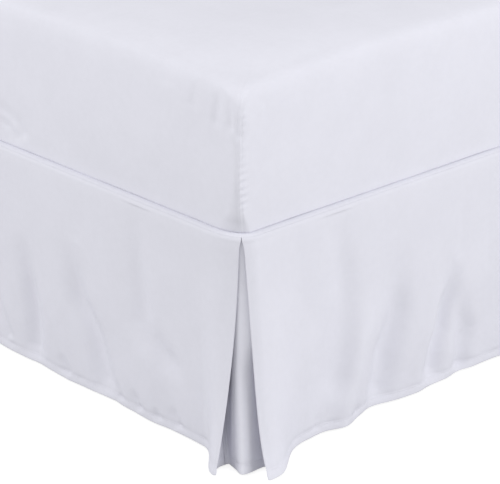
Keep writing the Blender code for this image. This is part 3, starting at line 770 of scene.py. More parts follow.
def foot_sheet(sizes):
    """The foot drop, from the right pleat to the left one, folded back at both ends.

    Returns its points as columns by rows, and each column's distance from the right corner.
    """
    fold = RIGHT_PLEAT + PLEAT_OPENING / 2
    length = EDGE_LENGTH - 2 * fold
    columns = graded(*PLEAT_COLUMNS)
    near_left = length - graded(PLEAT_COLUMNS[0])[::-1]
    from_right = np.append(columns[columns < near_left[0] - COLUMN_CLEARANCE], near_left)
    at_right = np.exp(-((from_right / CORNER_FADE) ** 2))
    at_left = np.exp(-(((length - from_right) / CORNER_FADE) ** 2))
    seam, _ = edge_at(fold + from_right)
    run = HALF_WIDTH - seam[:, 0]
    shift = FOOT_HEM["tip"] + FOOT_HEM["roll"] - run[0]
    run = run + shift * at_right - shift * at_left
    other = 2 * HALF_WIDTH - run
    out = FOOT_HEM["out"] + swing(run, FOOT_HEM) + swing(other, FOOT_HEM)
    back_distance, back_layer, back_hem = fold_back("foot")
    distance = np.concatenate([back_distance, fold + from_right, EDGE_LENGTH - back_distance[::-1]])
    layer = np.concatenate([back_layer, np.full(len(run), EDGE_ROLL), back_layer[::-1]])
    hem_line = np.vstack([back_hem, place("foot", run, out), mirrored(back_hem[::-1])])
    ends = np.ones(len(back_layer))
    closeness = np.concatenate([ends, at_right + at_left, ends])
    inside = np.minimum(from_right, length - from_right)
    free = np.concatenate([0 * ends, smooth((inside - PLAIN_REACH) / PLAIN_FADE), 0 * ends])
    past = np.cumsum(np.full(len(back_layer), BACK_STEP))
    runs = np.concatenate([run[0] - past[::-1], run, run[-1] + past])
    relief = drop_relief(runs, free, (0.0, -1.0), FOOT_FOLDS, FOOT_CREASES, FOOT_SEED)
    points = hang(distance, layer, hem_line, opening_of(closeness, FOOT_HEM), sizes, relief)
    return points, runs


def pleat_sheet(sizes):
    """The back of the right corner's pleat, from the foot's inner fold to the side's.

    To the left of a line on it that is plumb and faces the corner's diagonal, it lies deeper,
    by a soft step times a soft line of the height. That fades out at the foot's inner fold. To
    the right it is pressed out, by a soft line of the share of the drop.
    """
    reach = PLEAT_OPENING / 2 + PLEAT_DEPTH + PLEAT_LAP
    across = np.linspace(0.0, 1.0, STRIP_COLUMNS)
    distance = RIGHT_PLEAT + reach * (1.0 - 2.0 * across)
    layer = np.full(len(across), EDGE_ROLL - 2 * LAYER)
    share, beyond_foot, beyond_side = np.array(PLEAT_BACK).T
    hem_line = np.column_stack([HALF_WIDTH + soft_line(across, share, beyond_side),
                                FOOT_Y - soft_line(across, share, beyond_foot)])
    ones = np.ones(len(across))
    at_foot, at_side = opening_of(ones, FOOT_HEM), opening_of(ones, SIDE_HEM)
    lead = (across**PLEAT_LEAD)[:, None]

    def opening(drop):
        return (1.0 - lead) * at_foot(drop) + lead * at_side(drop)

    points = hang(distance, layer, hem_line, opening, sizes, pinch=False)
    fallen = (ROLL_CENTRE_Z - points[..., 2]) / (ROLL_CENTRE_Z - sizes.hem_clearance)
    pressed = step_over(across, PRESS_COMES) * (1.0 - step_over(across, PRESS_GOES))
    points[..., 0] += soft_line(fallen, PRESS_AT, PRESS_OUT) * pressed[:, None]
    facing = math.radians(VALLEY_AZIMUTH)
    towards = np.array([math.sin(facing), -math.cos(facing)])
    beside = np.array([math.cos(facing), math.sin(facing)])
    sideways = (points[..., :2] - np.array([HALF_WIDTH, FOOT_Y])) @ beside
    depth = soft_line(points[..., 2], VALLEY_HEIGHTS, VALLEY_DEPTHS)
    depth = depth * smooth((VALLEY_START - sideways) / VALLEY_SOFTNESS)
    depth = depth * smooth(across / VALLEY_FADE)[:, None]
    points[..., :2] -= depth[..., None] * towards
    return points, reach * 2.0 * across


def hemmed(points, runs, puckers, seed, sizes):
    """A sheet's points with the hem's relief added along its own normals."""
    relief = hem_relief(runs[:, None], points[..., 2], puckers, seed, sizes)
    return points + grid_normals(points) * relief[..., None]


def lengths_along(points, axis):
    """Mean distances along a grid's columns or rows, from its start."""
    steps = np.linalg.norm(np.diff(points, axis=axis), axis=2).mean(axis=1 - axis)
    return np.concatenate([[0.0], np.cumsum(steps)])


def mesh_from_grid(name, points, closed=False):
    """An object over a grid of points, columns by rows, with a UV map in metres of cloth.

    U is the mean distance along the columns and V the mean distance down the rows, so a
    pattern on the map keeps its real scale. A closed grid joins its last column to its first,
    and has one face under its first ring and a fan of faces to the middle of its last.
    """
    columns, rows = points.shape[:2]
    index = np.arange(columns * rows).reshape(columns, rows)
    after = np.roll(index, -1, axis=0) if closed else index[1:]
    first = index if closed else index[:-1]
    quads = np.stack([first[:, :-1], first[:, 1:], after[:, 1:], after[:, :-1]], -1).reshape(-1, 4)
    faces = quads[:, ::-1].tolist()
    verts = points.reshape(-1, 3)
    u, v = lengths_along(points, 0), lengths_along(points, 1)
    flat = np.stack(np.meshgrid(u, v, indexing="ij"), -1).reshape(-1, 2)
    if closed:
        last = index[:, -1]
        fan = np.column_stack([last, np.roll(last, -1), np.full(columns, len(verts))])
        faces += fan.tolist() + [index[::-1, 0].tolist()]
        verts = np.vstack([verts, verts[last].mean(axis=0)])
        flat = np.vstack([flat, flat[last].mean(axis=0)])
    mesh = bpy.data.meshes.new(name)
    mesh.from_pydata(verts.tolist(), [], faces)
    corners = np.empty(len(mesh.loops), np.int32)
    mesh.loops.foreach_get("vertex_index", corners)
    layer = mesh.uv_layers.new(name="cloth")
    layer.data.foreach_set("uv", flat[corners].astype(np.float32).ravel())
    mesh.polygons.foreach_set("use_smooth", np.ones(len(mesh.polygons), bool))
    piece = bpy.data.objects.new(name, mesh)
    bpy.context.scene.collection.objects.link(piece)
    return piece


def welded(piece):
    """Joins a piece's points that lie in one place, and drops the faces this flattens."""
    mesh = bmesh.new()
    mesh.from_mesh(piece.data)
    bmesh.ops.remove_doubles(mesh, verts=mesh.verts, dist=WELD_REACH)
    mesh.to_mesh(piece.data)
    mesh.free()
    return piece


def thicken(piece, thickness):
    """Give a sheet its thickness, half to each side."""
    solidify = piece.modifiers.new("cloth_thickness", "SOLIDIFY")
    solidify.thickness = thickness
    solidify.offset = 0.0
    return piece


def stitch_line(name, points, spacing, length, width):
    """Machine stitches along a line: slim capsules set end to end on the cloth.

    points is the line and the outward normals beside it. Each stitch is a ring of a few points
    carried along its length in a few steps, with the radius of a half ellipse, and its middle
    stands above the cloth as half a sine.
    """
    line, out = points
    steps = np.linalg.norm(np.diff(line, axis=0), axis=1)
    at = np.concatenate([[0.0], np.cumsum(steps)])
    centres = np.arange(spacing, at[-1] - spacing, spacing)
    share = np.linspace(-1.0, 1.0, STITCH_STEPS)
    where = centres[:, None] + share[None, :] * length / 2
    spine = np.stack([np.interp(where, at, line[:, k]) for k in range(3)], -1)
    normal = np.stack([np.interp(where, at, out[:, k]) for k in range(3)], -1)
    normal /= np.linalg.norm(normal, axis=-1)[..., None]
    forward = np.gradient(spine, axis=1)
    forward /= np.linalg.norm(forward, axis=-1)[..., None]
    beside = np.cross(forward, normal)
    radius = width / 2 * np.sqrt(np.maximum(1.0 - STITCH_TAPER * share**2, 0.0))
    spine = spine + normal * (STITCH_RISE * width * np.cos(share * math.pi / 2))[None, :, None]
    turn = np.linspace(0.0, TURN, STITCH_SIDES, endpoint=False)
    ring = (normal[:, :, None, :] * np.cos(turn)[:, None]
            + beside[:, :, None, :] * np.sin(turn)[:, None])
    verts = spine[:, :, None, :] + ring * radius[None, :, None, None]
    count, along, around = verts.shape[:3]
    index = np.arange(count * along * around).reshape(count, along, around)
    near, far = index[:, :-1], index[:, 1:]
    quads = np.stack([near, np.roll(near, -1, 2), np.roll(far, -1, 2), far], -1).reshape(-1, 4)
    caps = np.concatenate([index[:, 0, ::-1], index[:, -1]])
    mesh = bpy.data.meshes.new(name)
    mesh.from_pydata(verts.reshape(-1, 3).tolist(), [], quads.tolist() + caps.tolist())
    mesh.polygons.foreach_set("use_smooth", np.ones(len(mesh.polygons), bool))
    piece = bpy.data.objects.new(name, mesh)
    bpy.context.scene.collection.objects.link(piece)
    return piece


def deck_sheet():
    """The deck's rim over the bed's edge on three sides and a flat middle, as a grid.

    Columns run along the edge. Rows climb the roll from the seam to its top, then run in
    towards the bed's middle line, each column to its own place on it.
    """
    side_step, near_step, foot_step = DECK_STEPS
    near = HEAD_Y - FOOT_Y - DECK_NEAR_SIDE
    past = RIGHT_PLEAT + DECK_NEAR_FOOT
    distance = graded((0.0, near, side_step), (near, past, near_step),
                      (past, EDGE_LENGTH / 2, foot_step))
    distance = np.concatenate([distance, EDGE_LENGTH - distance[-2::-1]])
    seam, normal = edge_at(distance)
    gap = math.degrees(SEAM_GAP / EDGE_ROLL)
    angles = np.concatenate([np.arange(0.0, SEAM_ANGLE - gap, ROLL_STEP), [SEAM_ANGLE - gap]])[::-1]
    radius = EDGE_ROLL - SEAM_DIP * np.exp(-(((angles - angles[0]) / SEAM_DIP_REACH) ** 2))
    turn = np.radians(angles)
    plan = seam[:, None, :] + normal[:, None, :] * (radius * np.sin(turn))[None, :, None]
    height = np.broadcast_to(ROLL_CENTRE_Z + radius * np.cos(turn), plan.shape[:2])
    rim = np.dstack([plan, height])
    share = np.linspace(0.0, 1.0, DECK_ROWS)[1:]
    spine = np.column_stack([0.0 * seam[:, 0], np.clip(seam[:, 1], FOOT_Y + HALF_WIDTH, None)])
    flat = seam[:, None, :] + (spine - seam)[:, None, :] * share[None, :, None]
    middle = np.dstack([flat, np.full(flat.shape[:2], ROLL_CENTRE_Z + EDGE_ROLL)])
    return np.concatenate([rim, middle], axis=1)[:, ::-1]


def cover_outline(inset, share, extra):
    """The mattress's plan at one level: straight sides, and a quarter ellipse at each corner.

    Its half axes are a share of the deck's plus an extra. Columns keep their share of each side
    and corner from level to level. Points go from the middle of the foot round the right side
    to the middle of the head, then back mirrored.
    """
    half, foot, head = HALF_WIDTH - inset, FOOT_Y + inset, HEAD_Y - inset
    across, along, round_head = (share * axis + extra for axis in
                                 (FOOT_CORNER_ACROSS, FOOT_CORNER_ALONG, HEAD_CORNER))
    angle = np.linspace(0.0, math.pi / 2, COVER_CORNER_STEPS + 1)
    by_foot, by_side = graded(*FOOT_COLUMNS), graded(*SIDE_COLUMNS)
    foot_run = np.column_stack([(half - across) * (1.0 - by_foot[:0:-1]),
                                np.full(len(by_foot) - 1, foot)])
    foot_corner = np.column_stack([half - across * (1.0 - np.sin(angle)),
                                   foot + along * (1.0 - np.cos(angle))])
    middle = (foot + along + head - round_head) / 2
    up = foot + along + (middle - foot - along) * by_side[1:]
    down = head - round_head - (head - round_head - middle) * by_side[-2:0:-1]
    side = np.concatenate([up, down])
    side_run = np.column_stack([np.full(len(side), half), side])
    head_corner = np.column_stack([half - round_head * (1.0 - np.cos(angle)),
                                   head - round_head * (1.0 - np.sin(angle))])
    head_run = np.column_stack([(half - round_head) * (1.0 - by_side[1:]),
                                np.full(len(by_side) - 1, head)])
    right = np.vstack([foot_run, foot_corner, side_run, head_corner, head_run])
    # The two middle points lie on the mirror line, so they aren't repeated
    return np.vstack([right, mirrored(right[-2:0:-1])])


def cover_grid():
    """The fitted cover over the mattress: rings up its side, then rings in over its top.

    A ring's height, inset and rounding are soft lines through the table's rows. Towards each
    corner it is lowered by a share that is a bell of the distance from the corner, faded out
    over the last rows. Over the top the rings shrink towards the middle.
    """
    table = np.array(MATTRESS_RINGS)
    key = np.arange(len(table), dtype=float)
    dense = soft_line(np.linspace(0.0, 1.0, COVER_ROWS), COVER_ROW_SHARES, COVER_ROW_RINGS)
    rings = []
    for place_in, (level, *plan_of) in zip(dense, zip(*(soft_line(dense, key, column)
                                                        for column in table.T))):
        plan = cover_outline(*plan_of)
        from_side = HALF_WIDTH - np.abs(plan[:, 0])
        from_end = np.minimum(plan[:, 1] - FOOT_Y, HEAD_Y - plan[:, 1])
        droop = CORNER_DROOP * np.exp(-(from_side**2 + from_end**2) / DROOP_REACH**2)
        droop = droop * (1.0 - smooth((place_in - key[-1] + DROOP_ROWS) / DROOP_ROWS))
        rings.append(np.column_stack([plan, MATTRESS_LOW.z + level * (1.0 - droop)]))
    edge = rings[-1]
    centre = np.array([0.0, (FOOT_Y + HEAD_Y) / 2, edge[0, 2]])
    inwards = np.linspace(0.0, 1.0, TOP_ROWS + 1)[1:-1]
    rings += [edge + (centre - edge) * share for share in inwards]
    return np.stack(rings, axis=1)


def corner_runs(points, corner):
    """Each point's distance round its ring from a corner's seam, the seam being where the
    cover faces half way between its two sides; rising anticlockwise seen from above."""
    columns = len(points)
    plan = points[:, :, :2]
    steps = np.linalg.norm(np.diff(np.concatenate([plan, plan[:1]]), axis=0), axis=2)
    at = np.concatenate([np.zeros((1, points.shape[1])), np.cumsum(steps, axis=0)])
    whole = at[-1]
    seam_column = corner % columns
    run = at[:-1] - at[seam_column]
    return (run + whole / 2) % whole - whole / 2


def cover_relief(points, seam_columns):
    """Corner seams, scallops and puckers of the cover, and its soft unevenness.

    At each seam a bell-shaped ridge lies between two fainter grooves. Beside it the gathers
    are a sine of the height, times a bell of the distance. Puckers are creases.
    """
    height = points[..., 2]
    wall = smooth((MATTRESS_HIGH.z - WALL_END - height) / WALL_FADE)
    relief = np.zeros(height.shape)
    low, high = SCALLOP_HEIGHTS
    for number, column in enumerate(seam_columns):
        run = corner_runs(points, column)
        if number % 2:
            run = -run
        ridge = SEAM_RIDGE * np.exp(-((run / SEAM_RIDGE_WIDTH) ** 2))
        beside = (np.abs(run) - SEAM_GROOVE_AT * SEAM_RIDGE_WIDTH) / SEAM_RIDGE_WIDTH
        groove = -SEAM_GROOVE * SEAM_RIDGE * np.exp(-(beside**2))
        window = smooth((height - low) / SCALLOP_FADE) * smooth((high - height) / SCALLOP_FADE)
        gather = (SCALLOP * np.sin(TURN * (height - SCALLOP_LEAN * run) / SCALLOP_PITCH)
                  * np.exp(-(((run - SCALLOP_AT) / SCALLOP_REACH) ** 2)) * window)
        near = np.abs(run) < CREASE_REACH
        creases = np.where(near, crease_relief(run, height, COVER_CREASES), 0.0)
        relief += (ridge + groove) * smooth((MATTRESS_HIGH.z - SEAM_END - height) / SEAM_FADE)
        relief += gather + creases
    run = corner_runs(points, seam_columns[0])
    wall_seed, top_seed = COVER_SEEDS
    relief += WALL_RIPPLES * wall * ripple_relief(run, height, wall_seed)
    relief += TOP_RIPPLES * (1.0 - wall) * ripple_relief(points[..., 0], points[..., 1], top_seed)
    return relief


# Half of the noises' range over which a mottled colour runs
MOTTLE_REACH = 0.3
# How far apart a wave texture's bands are at scale 1, in metres: across an axis, and along each
# axis where they run diagonally
BAND_SPACING = TURN / 20.0
DIAGONAL_SPACING = TURN / 10.0
# How far apart the weave and the ticking's ribs are drawn, and the nap's grain in each metre
WEAVE_SPACING = 0.00565
RIB_SPACING = 0.0201
NAP_GRAIN = 900.0


def add_node(tree, kind, settings=None, **inputs):
    """Add a node: settings are its properties, and each input is a value or another's output."""
    node = tree.nodes.new(kind)
    for name, value in (settings or {}).items():
        setattr(node, name, value)
    for name, value in inputs.items():
        socket = node.inputs[int(name[1:]) if name[0] == "_" else name.replace("_", " ")]
        if isinstance(value, bpy.types.NodeSocket):
            tree.links.new(value, socket)
        else:
            socket.default_value = value
    return node


def new_material(name, roughness):
    """An empty node material with its shader, both returned with the tree."""
    material = bpy.data.materials.new(name)
    material.use_nodes = True
    tree = material.node_tree
    shader = tree.nodes["Principled BSDF"]
    shader.inputs["Roughness"].default_value = roughness
    return material, tree, shader


def mottled(tree, vector, colour, spread, *scales):
    """A colour that varies a little in brightness, by noise of several real sizes.

    The noises are added, and the colour runs from dark to light over the middle of their range.
    """
    level = None
    for scale in scales:
        noise = add_node(tree, "ShaderNodeTexNoise", Vector=vector, Scale=1.0 / scale, Detail=2.0)
        level = noise.outputs["Fac"] if level is None else add_node(
            tree, "ShaderNodeMath", {"operation": "ADD"}, _0=level, _1=noise.outputs["Fac"]).outputs[0]
    middle = len(scales) / 2
    factor = add_node(tree, "ShaderNodeMapRange", Value=level, **{
        "From Min": middle - MOTTLE_REACH, "From Max": middle + MOTTLE_REACH}).outputs["Result"]
    dark = tuple(c * (1.0 - spread) for c in colour)
    light = tuple(min(1.0, c * (1.0 + spread)) for c in colour)
    mix = add_node(tree, "ShaderNodeMix", {"data_type": "RGBA"}, _0=factor,
                   _6=(*dark, 1.0), _7=(*light, 1.0))
    return mix.outputs[2]


def brushed_microfibre(name, colour):
    """Brushed microfibre, woven plain and sanded: a dull, even white with a faint nap.

    The threads are about 0.15 mm apart. That is too fine to show where a pixel is 2.4 mm of
    cloth, so the weave is drawn 5.65 mm apart and very low; over it lies the nap, a fine noise.
    """
    material, tree, shader = new_material(name, 0.86)
    shader.inputs["Sheen Weight"].default_value = 0.02
    shader.inputs["Sheen Roughness"].default_value = 0.55
    shader.inputs["Specular IOR Level"].default_value = 0.12
    place_of = add_node(tree, "ShaderNodeTexCoord")
    tree.links.new(mottled(tree, place_of.outputs["Object"], colour, 0.012, 0.19, 0.06, 0.011),
                   shader.inputs["Base Color"])
    warp, weft = (add_node(tree, "ShaderNodeTexWave",
                           {"wave_type": "BANDS", "bands_direction": way},
                           Vector=place_of.outputs["UV"], Scale=BAND_SPACING / WEAVE_SPACING,
                           Distortion=0.6) for way in ("X", "Y"))
    weave = add_node(tree, "ShaderNodeMath", {"operation": "MULTIPLY"},
                     _0=warp.outputs["Fac"], _1=weft.outputs["Fac"])
    nap = add_node(tree, "ShaderNodeTexNoise", Vector=place_of.outputs["Object"],
                   Scale=NAP_GRAIN, Detail=3.0)
    pile = add_node(tree, "ShaderNodeMath", {"operation": "ADD"},
                    _0=weave.outputs[0], _1=nap.outputs["Fac"])
    bump = add_node(tree, "ShaderNodeBump", Strength=0.10, Distance=0.0002, Height=pile.outputs[0])
    tree.links.new(bump.outputs["Normal"], shader.inputs["Normal"])
    return material


def spun_thread(name, colour):
    """Spun polyester sewing thread: whiter than the cloth, with a faint gloss."""
    material, tree, shader = new_material(name, 0.55)
    place_of = add_node(tree, "ShaderNodeTexCoord")
    tree.links.new(mottled(tree, place_of.outputs["Object"], colour, 0.03, 0.0006),
                   shader.inputs["Base Color"])
    return material


def woven_ticking(name, colour):
    """Cotton ticking, a tight twill: ivory and matt, with ribs that run aslant.

    Real ribs are about 1 mm apart, too fine to show, so they are drawn far coarser, 20.1 mm
    apart along each axis, and low.
    """
    material, tree, shader = new_material(name, 0.88)
    place_of = add_node(tree, "ShaderNodeTexCoord")
    tree.links.new(mottled(tree, place_of.outputs["Object"], colour, 0.03, 0.12, 0.02),
                   shader.inputs["Base Color"])
    rib = add_node(tree, "ShaderNodeTexWave", {"wave_type": "BANDS", "bands_direction": "DIAGONAL"},
                   Vector=place_of.outputs["Object"], Scale=DIAGONAL_SPACING / RIB_SPACING,
                   Distortion=0.3)
    bump = add_node(tree, "ShaderNodeBump", Strength=0.35, Distance=0.0004,
                    Height=rib.outputs["Fac"])
    tree.links.new(bump.outputs["Normal"], shader.inputs["Normal"])
    return material


def varnished_birch(name, colour):
    """Birch, turned and clear varnished: pale wood with fine grain along its length, satin."""
    material, tree, shader = new_material(name, 0.42)
    place_of = add_node(tree, "ShaderNodeTexCoord")
    along = add_node(tree, "ShaderNodeMapping", Vector=place_of.outputs["Object"],
                     Scale=(90.0, 90.0, 4.0))
    grain = add_node(tree, "ShaderNodeTexNoise", Vector=along.outputs[0], Scale=1.0, Detail=6.0)
    ramp = add_node(tree, "ShaderNodeValToRGB", Fac=grain.outputs["Fac"])
    ramp.color_ramp.elements[0].position = 0.32
    ramp.color_ramp.elements[0].color = (*(0.72 * c for c in colour), 1.0)
    ramp.color_ramp.elements[1].position = 0.68
    ramp.color_ramp.elements[1].color = (*colour, 1.0)
    tree.links.new(ramp.outputs["Color"], shader.inputs["Base Color"])
    bump = add_node(tree, "ShaderNodeBump", Strength=0.12, Distance=0.0003,
                    Height=grain.outputs["Fac"])
    tree.links.new(bump.outputs["Normal"], shader.inputs["Normal"])
    return material


def dress(piece, material, slot, *nodes):
    """Give a piece its material, body and the nodes that it stands for; its record slot is not used.
    """
    piece.data.materials.clear()
    piece.data.materials.append(material)
    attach(piece, "root")
    if nodes:
        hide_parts(*nodes)
    return piece


def shared(make, name, colour):
    """The material of that name, made the first time it is asked for."""
    return bpy.data.materials.get(name) or make(name, tuple(colour))


def skirt_cloth():
    """The skirt's brushed microfibre, in the colour that the sidebar gives it."""
    return shared(brushed_microfibre, "brushed_microfibre_skirt",
                  bpy.context.scene.bed_skirt_finishes.skirt_colour)


def hem_stitches(name, points, sizes):
    """The stitches of a hem, on the row of the sheet that lies nearest its stitch line."""
    level = sizes.hem_clearance + sizes.hem_band - HEM_GROOVE_DOWN
    row = np.argmin(np.abs(points[len(points) // 2, :, 2] - level))
    out = grid_normals(points)[:, row]
    line = points[:, row] + out * sizes.cloth_thickness / 2
    length = STITCH_SHARE * sizes.stitch_spacing
    return stitch_line(name, (line, out), sizes.stitch_spacing, length, STITCH_WIDTH)


def hang_cloth(name, node, points, sizes):
    piece = thicken(mesh_from_grid(name, points), sizes.cloth_thickness)
    dress(piece, skirt_cloth(), "skirt_cloth", node)
    finishes = bpy.context.scene.bed_skirt_finishes
    thread = shared(spun_thread, "spun_thread_white", finishes.thread_colour)
    stitches = dress(hem_stitches(f"{name}_stitches", points, sizes), thread, "skirt_cloth")
    return piece


# The pleat strip's one pucker
PLEAT_PUCKERS = ((0.030, 0.010, 0.8),)


class BedSkirtSizes(bpy.types.PropertyGroup):
    hem_band: bpy.props.FloatProperty(
        name="Hem band", description="Height of the turned and stitched hem", default=0.0125,
        unit="LENGTH")
    hem_clearance: bpy.props.FloatProperty(
        name="Hem clearance", description="Height of the hem above the floor", default=0.004,
        unit="LENGTH")
    cloth_thickness: bpy.props.FloatProperty(
        name="Cloth thickness", description="Thickness of the hanging cloth", default=0.0009,
        unit="LENGTH")
    stitch_spacing: bpy.props.FloatProperty(
        name="Stitch spacing", description="Distance from one hem stitch to the next",
        default=0.0032, unit="LENGTH")


class BedSkirtFinishes(bpy.types.PropertyGroup):
    skirt_colour: bpy.props.FloatVectorProperty(
        name="Skirt", description="Colour of the skirt's cloth", subtype="COLOR", size=3,
        default=linear("#DADAE3"))
    cover_colour: bpy.props.FloatVectorProperty(
        name="Mattress cover", description="Colour of the fitted cover", subtype="COLOR", size=3,
        default=linear("#DCDCE5"))
    thread_colour: bpy.props.FloatVectorProperty(
        name="Thread", description="Colour of the sewing thread", subtype="COLOR", size=3,
        default=linear("#E2E2EA"))
    ticking_colour: bpy.props.FloatVectorProperty(
        name="Base ticking", description="Colour of the cloth on the base", subtype="COLOR",
        size=3, default=linear("#DEDACF"))
    wood_colour: bpy.props.FloatVectorProperty(
        name="Legs", description="Colour of the turned legs", subtype="COLOR", size=3,
        default=linear("#D2B48A"))
    floor_colour: bpy.props.FloatVectorProperty(
        name="Floor", description="Colour of the studio floor", subtype="COLOR", size=3,
        default=linear("#CBCBCB"))


class BEDSKIRT_OT_deck(bpy.types.Operator):
    """Lay the deck between mattress and base, its rim turned down to the seam"""
    bl_idname = "bed_skirt.lay_deck"
    bl_label = "Lay the deck"

    def execute(self, context):
        sizes = context.scene.bed_skirt_sizes
        deck = thicken(welded(mesh_from_grid("deck_cloth", deck_sheet())), sizes.cloth_thickness)
        dress(deck, skirt_cloth(), "skirt_cloth", "deck")
        return {"FINISHED"}


class BEDSKIRT_OT_foot_drop(bpy.types.Operator):
    """Hang the drop across the foot, folded back at both corner pleats"""
    bl_idname = "bed_skirt.hang_foot_drop"
    bl_label = "Hang the foot drop"

    def execute(self, context):
        sizes = context.scene.bed_skirt_sizes
        points, runs = foot_sheet(sizes)
        points = hemmed(points, runs, FOOT_PUCKERS, FOOT_SEED + PUCKER_SEED_STEP, sizes)
        hang_cloth("foot_drop_cloth", "foot_drop", points, sizes)
        return {"FINISHED"}


class BEDSKIRT_OT_side_drops(bpy.types.Operator):
    """Hang the drops of the two long sides, each folded back at its corner pleat"""
    bl_idname = "bed_skirt.hang_side_drops"
    bl_label = "Hang the side drops"

    def execute(self, context):
        sizes = context.scene.bed_skirt_sizes
        for side, folds, creases, seed in (("right", RIGHT_FOLDS, RIGHT_CREASES, RIGHT_SEED),
                                           ("left", LEFT_FOLDS, LEFT_CREASES, LEFT_SEED)):
            points, runs = side_sheet(folds, creases, seed, sizes)
            points = hemmed(points, runs, SIDE_PUCKERS, seed + PUCKER_SEED_STEP, sizes)
            if side == "left":
                points = mirrored(points)[::-1]
            hang_cloth(f"side_drop_{side}_cloth", f"side_drop_{side}", points, sizes)
        return {"FINISHED"}


class BEDSKIRT_OT_corner_pleats(bpy.types.Operator):
    """Hang the strip at the back of each inverted corner pleat"""
    bl_idname = "bed_skirt.hang_corner_pleats"
    bl_label = "Hang the corner pleats"

    def execute(self, context):
        sizes = context.scene.bed_skirt_sizes
        for side in ("right", "left"):
            points, runs = pleat_sheet(sizes)
            points, runs = points[::-1], runs[::-1]
            points = hemmed(points, runs, PLEAT_PUCKERS, PLEAT_PUCKER_SEED, sizes)
            if side == "left":
                points = mirrored(points)[::-1]
            hang_cloth(f"corner_pleat_{side}_cloth", f"corner_pleat_{side}", points,
                       sizes)
        return {"FINISHED"}


class BEDSKIRT_OT_mattress(bpy.types.Operator):
    """Make the mattress in its fitted cover, with seams and gathers at its corners"""
    bl_idname = "bed_skirt.make_mattress"
    bl_label = "Make the mattress"

    def execute(self, context):
        points = cover_grid()
        columns = len(points)
        foot_run, side_run = len(graded(*FOOT_COLUMNS)) - 1, len(graded(*SIDE_COLUMNS)) - 1
        seam = foot_run + round(SEAM_SHARE * COVER_CORNER_STEPS)
        # A head corner's seam is in its middle, past the whole of the foot corner
        head_seam = foot_run + 2 * side_run + COVER_CORNER_STEPS + COVER_CORNER_STEPS // 2
        seams = (seam, head_seam, columns - head_seam, columns - seam)
        points = points + grid_normals(points) * cover_relief(points, seams)[..., None]
        piece = mesh_from_grid("mattress_cover", points, closed=True)
        cover = shared(brushed_microfibre, "brushed_microfibre_cover",
                       context.scene.bed_skirt_finishes.cover_colour)
        dress(piece, cover, "mattress_cover", "mattress")
        return {"FINISHED"}


class BEDSKIRT_OT_base_and_legs(bpy.types.Operator):
    """Finish the base under the deck and its six turned legs"""
    bl_idname = "bed_skirt.finish_base_and_legs"
    bl_label = "Finish the base and legs"

    def execute(self, context):
        finishes = context.scene.bed_skirt_finishes
        ticking = shared(woven_ticking, "woven_cotton_ticking", finishes.ticking_colour)
        birch = shared(varnished_birch, "varnished_birch", finishes.wood_colour)
        for name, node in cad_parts.items():
            if name == "bed_base":
                node.data.materials[0] = ticking
            elif name.startswith("leg_"):
                node.data.materials[0] = birch
        return {"FINISHED"}


def floor_material(name, colour, glow):
    """Painted board: flat, pale and matt, with some light of its own so that it stays white."""
    material, tree, shader = new_material(name, 0.95)
    shader.inputs["Specular IOR Level"].default_value = 0.0
    shader.inputs["Base Color"].default_value = (*colour, 1.0)
    shader.inputs["Emission Color"].default_value = (1.0, 1.0, 1.0, 1.0)
    shader.inputs["Emission Strength"].default_value = glow
    return material


def flat_square(name, size, height):
    """A level square around the origin."""
    half = size / 2
    mesh = bpy.data.meshes.new(name)
    mesh.from_pydata([(-half, -half, height), (half, -half, height), (half, half, height),
                      (-half, half, height)], [], [(0, 1, 2, 3)])
    square = bpy.data.objects.new(name, mesh)
    bpy.context.scene.collection.objects.link(square)
    return square


def direction(azimuth, elevation):
    """Unit vector from the bed towards an azimuth, counted from -Y to +X, and an elevation."""
    a, e = math.radians(azimuth), math.radians(elevation)
    return np.array([math.sin(a) * math.cos(e), -math.cos(a) * math.cos(e), math.sin(e)])


def aim(thing, towards):
    """Turn a camera or light so that it looks along a direction, upright."""
    thing.rotation_mode = "QUATERNION"
    thing.rotation_quaternion = Vector(towards).to_track_quat("-Z", "Y")


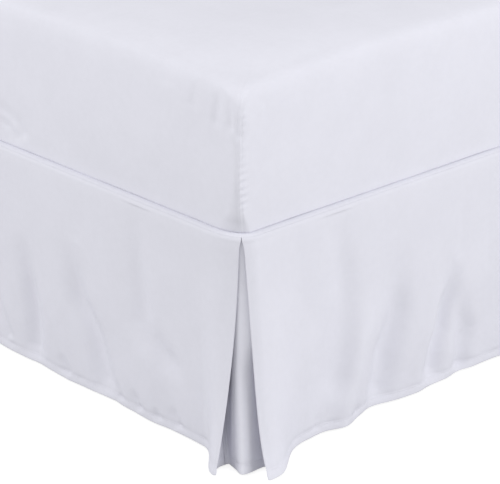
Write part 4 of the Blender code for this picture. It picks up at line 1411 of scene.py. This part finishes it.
class BEDSKIRT_OT_stage(bpy.types.Operator):
    """Lay a pale floor and set up soft studio light and the camera"""
    bl_idname = "bed_skirt.set_stage"
    bl_label = "Set the stage"

    def execute(self, context):
        scene = context.scene
        colour = tuple(scene.bed_skirt_finishes.floor_colour)
        # The floor that lights the cloth, and the white one that the camera sees on it
        lit = flat_square("floor", FLOOR_SIZE, -FLOOR_DEPTH)
        lit.data.materials.append(floor_material("painted_board", colour, 0.0))
        lit.visible_camera = False
        seen = flat_square("floor_face", FLOOR_SIZE, -FLOOR_DEPTH / 2)
        white = floor_material("painted_board_face", FLOOR_FACE_GREY, FLOOR_FACE_GLOW)
        seen.data.materials.append(white)
        for ray in ("diffuse", "glossy", "transmission", "volume_scatter", "shadow"):
            setattr(seen, f"visible_{ray}", False)

        world = bpy.data.worlds.new("studio")
        world.use_nodes = True
        sky = world.node_tree.nodes["Background"]
        sky.inputs["Color"].default_value = (1.0, 1.0, 1.0, 1.0)
        sky.inputs["Strength"].default_value = SKY_STRENGTH
        scene.world = world

        for azimuth, elevation, power in SOFTBOXES:
            light = bpy.data.lights.new("softbox", "AREA")
            light.shape = "SQUARE"
            light.size = SOFTBOX_SIZE
            light.energy = power
            softbox = bpy.data.objects.new("softbox", light)
            scene.collection.objects.link(softbox)
            towards = direction(azimuth, elevation)
            softbox.location = np.array(SOFTBOX_AIM) + towards * SOFTBOX_DISTANCE
            aim(softbox, -towards)

        lens = bpy.data.cameras.new("camera")
        lens.lens = CAMERA_LENS
        lens.clip_end = CAMERA_REACH
        camera = bpy.data.objects.new("camera", lens)
        scene.collection.objects.link(camera)
        camera.location = CAMERA_PLACE
        aim(camera, -direction(CAMERA_AZIMUTH, CAMERA_ELEVATION))
        scene.camera = camera
        scene.view_settings.view_transform = "Standard"
        return {"FINISHED"}


OPERATORS = (
    BEDSKIRT_OT_deck,
    BEDSKIRT_OT_foot_drop,
    BEDSKIRT_OT_side_drops,
    BEDSKIRT_OT_corner_pleats,
    BEDSKIRT_OT_mattress,
    BEDSKIRT_OT_base_and_legs,
    BEDSKIRT_OT_stage,
)


class BEDSKIRT_PT_sidebar(bpy.types.Panel):
    bl_label = "Bed skirt"
    bl_space_type = "VIEW_3D"
    bl_region_type = "UI"
    bl_category = "Bed skirt"

    def draw(self, context):
        for group in (context.scene.bed_skirt_sizes, context.scene.bed_skirt_finishes):
            for name in group.bl_rna.properties.keys():
                if name not in ("name", "rna_type"):
                    self.layout.prop(group, name)
        for operator in OPERATORS:
            self.layout.operator(operator.bl_idname)


CLASSES = (BedSkirtSizes, BedSkirtFinishes, *OPERATORS, BEDSKIRT_PT_sidebar)


def register():
    for cls in CLASSES:
        bpy.utils.register_class(cls)
    bpy.types.Scene.bed_skirt_sizes = bpy.props.PointerProperty(type=BedSkirtSizes)
    bpy.types.Scene.bed_skirt_finishes = bpy.props.PointerProperty(type=BedSkirtFinishes)


def unregister():
    del bpy.types.Scene.bed_skirt_finishes
    del bpy.types.Scene.bed_skirt_sizes
    for cls in reversed(CLASSES):
        bpy.utils.unregister_class(cls)


def main():
    """Build everything in order."""
    register()
    for operator in OPERATORS:
        group, name = operator.bl_idname.split(".")
        getattr(getattr(bpy.ops, group), name)()


if __name__ == "__main__":
    main()
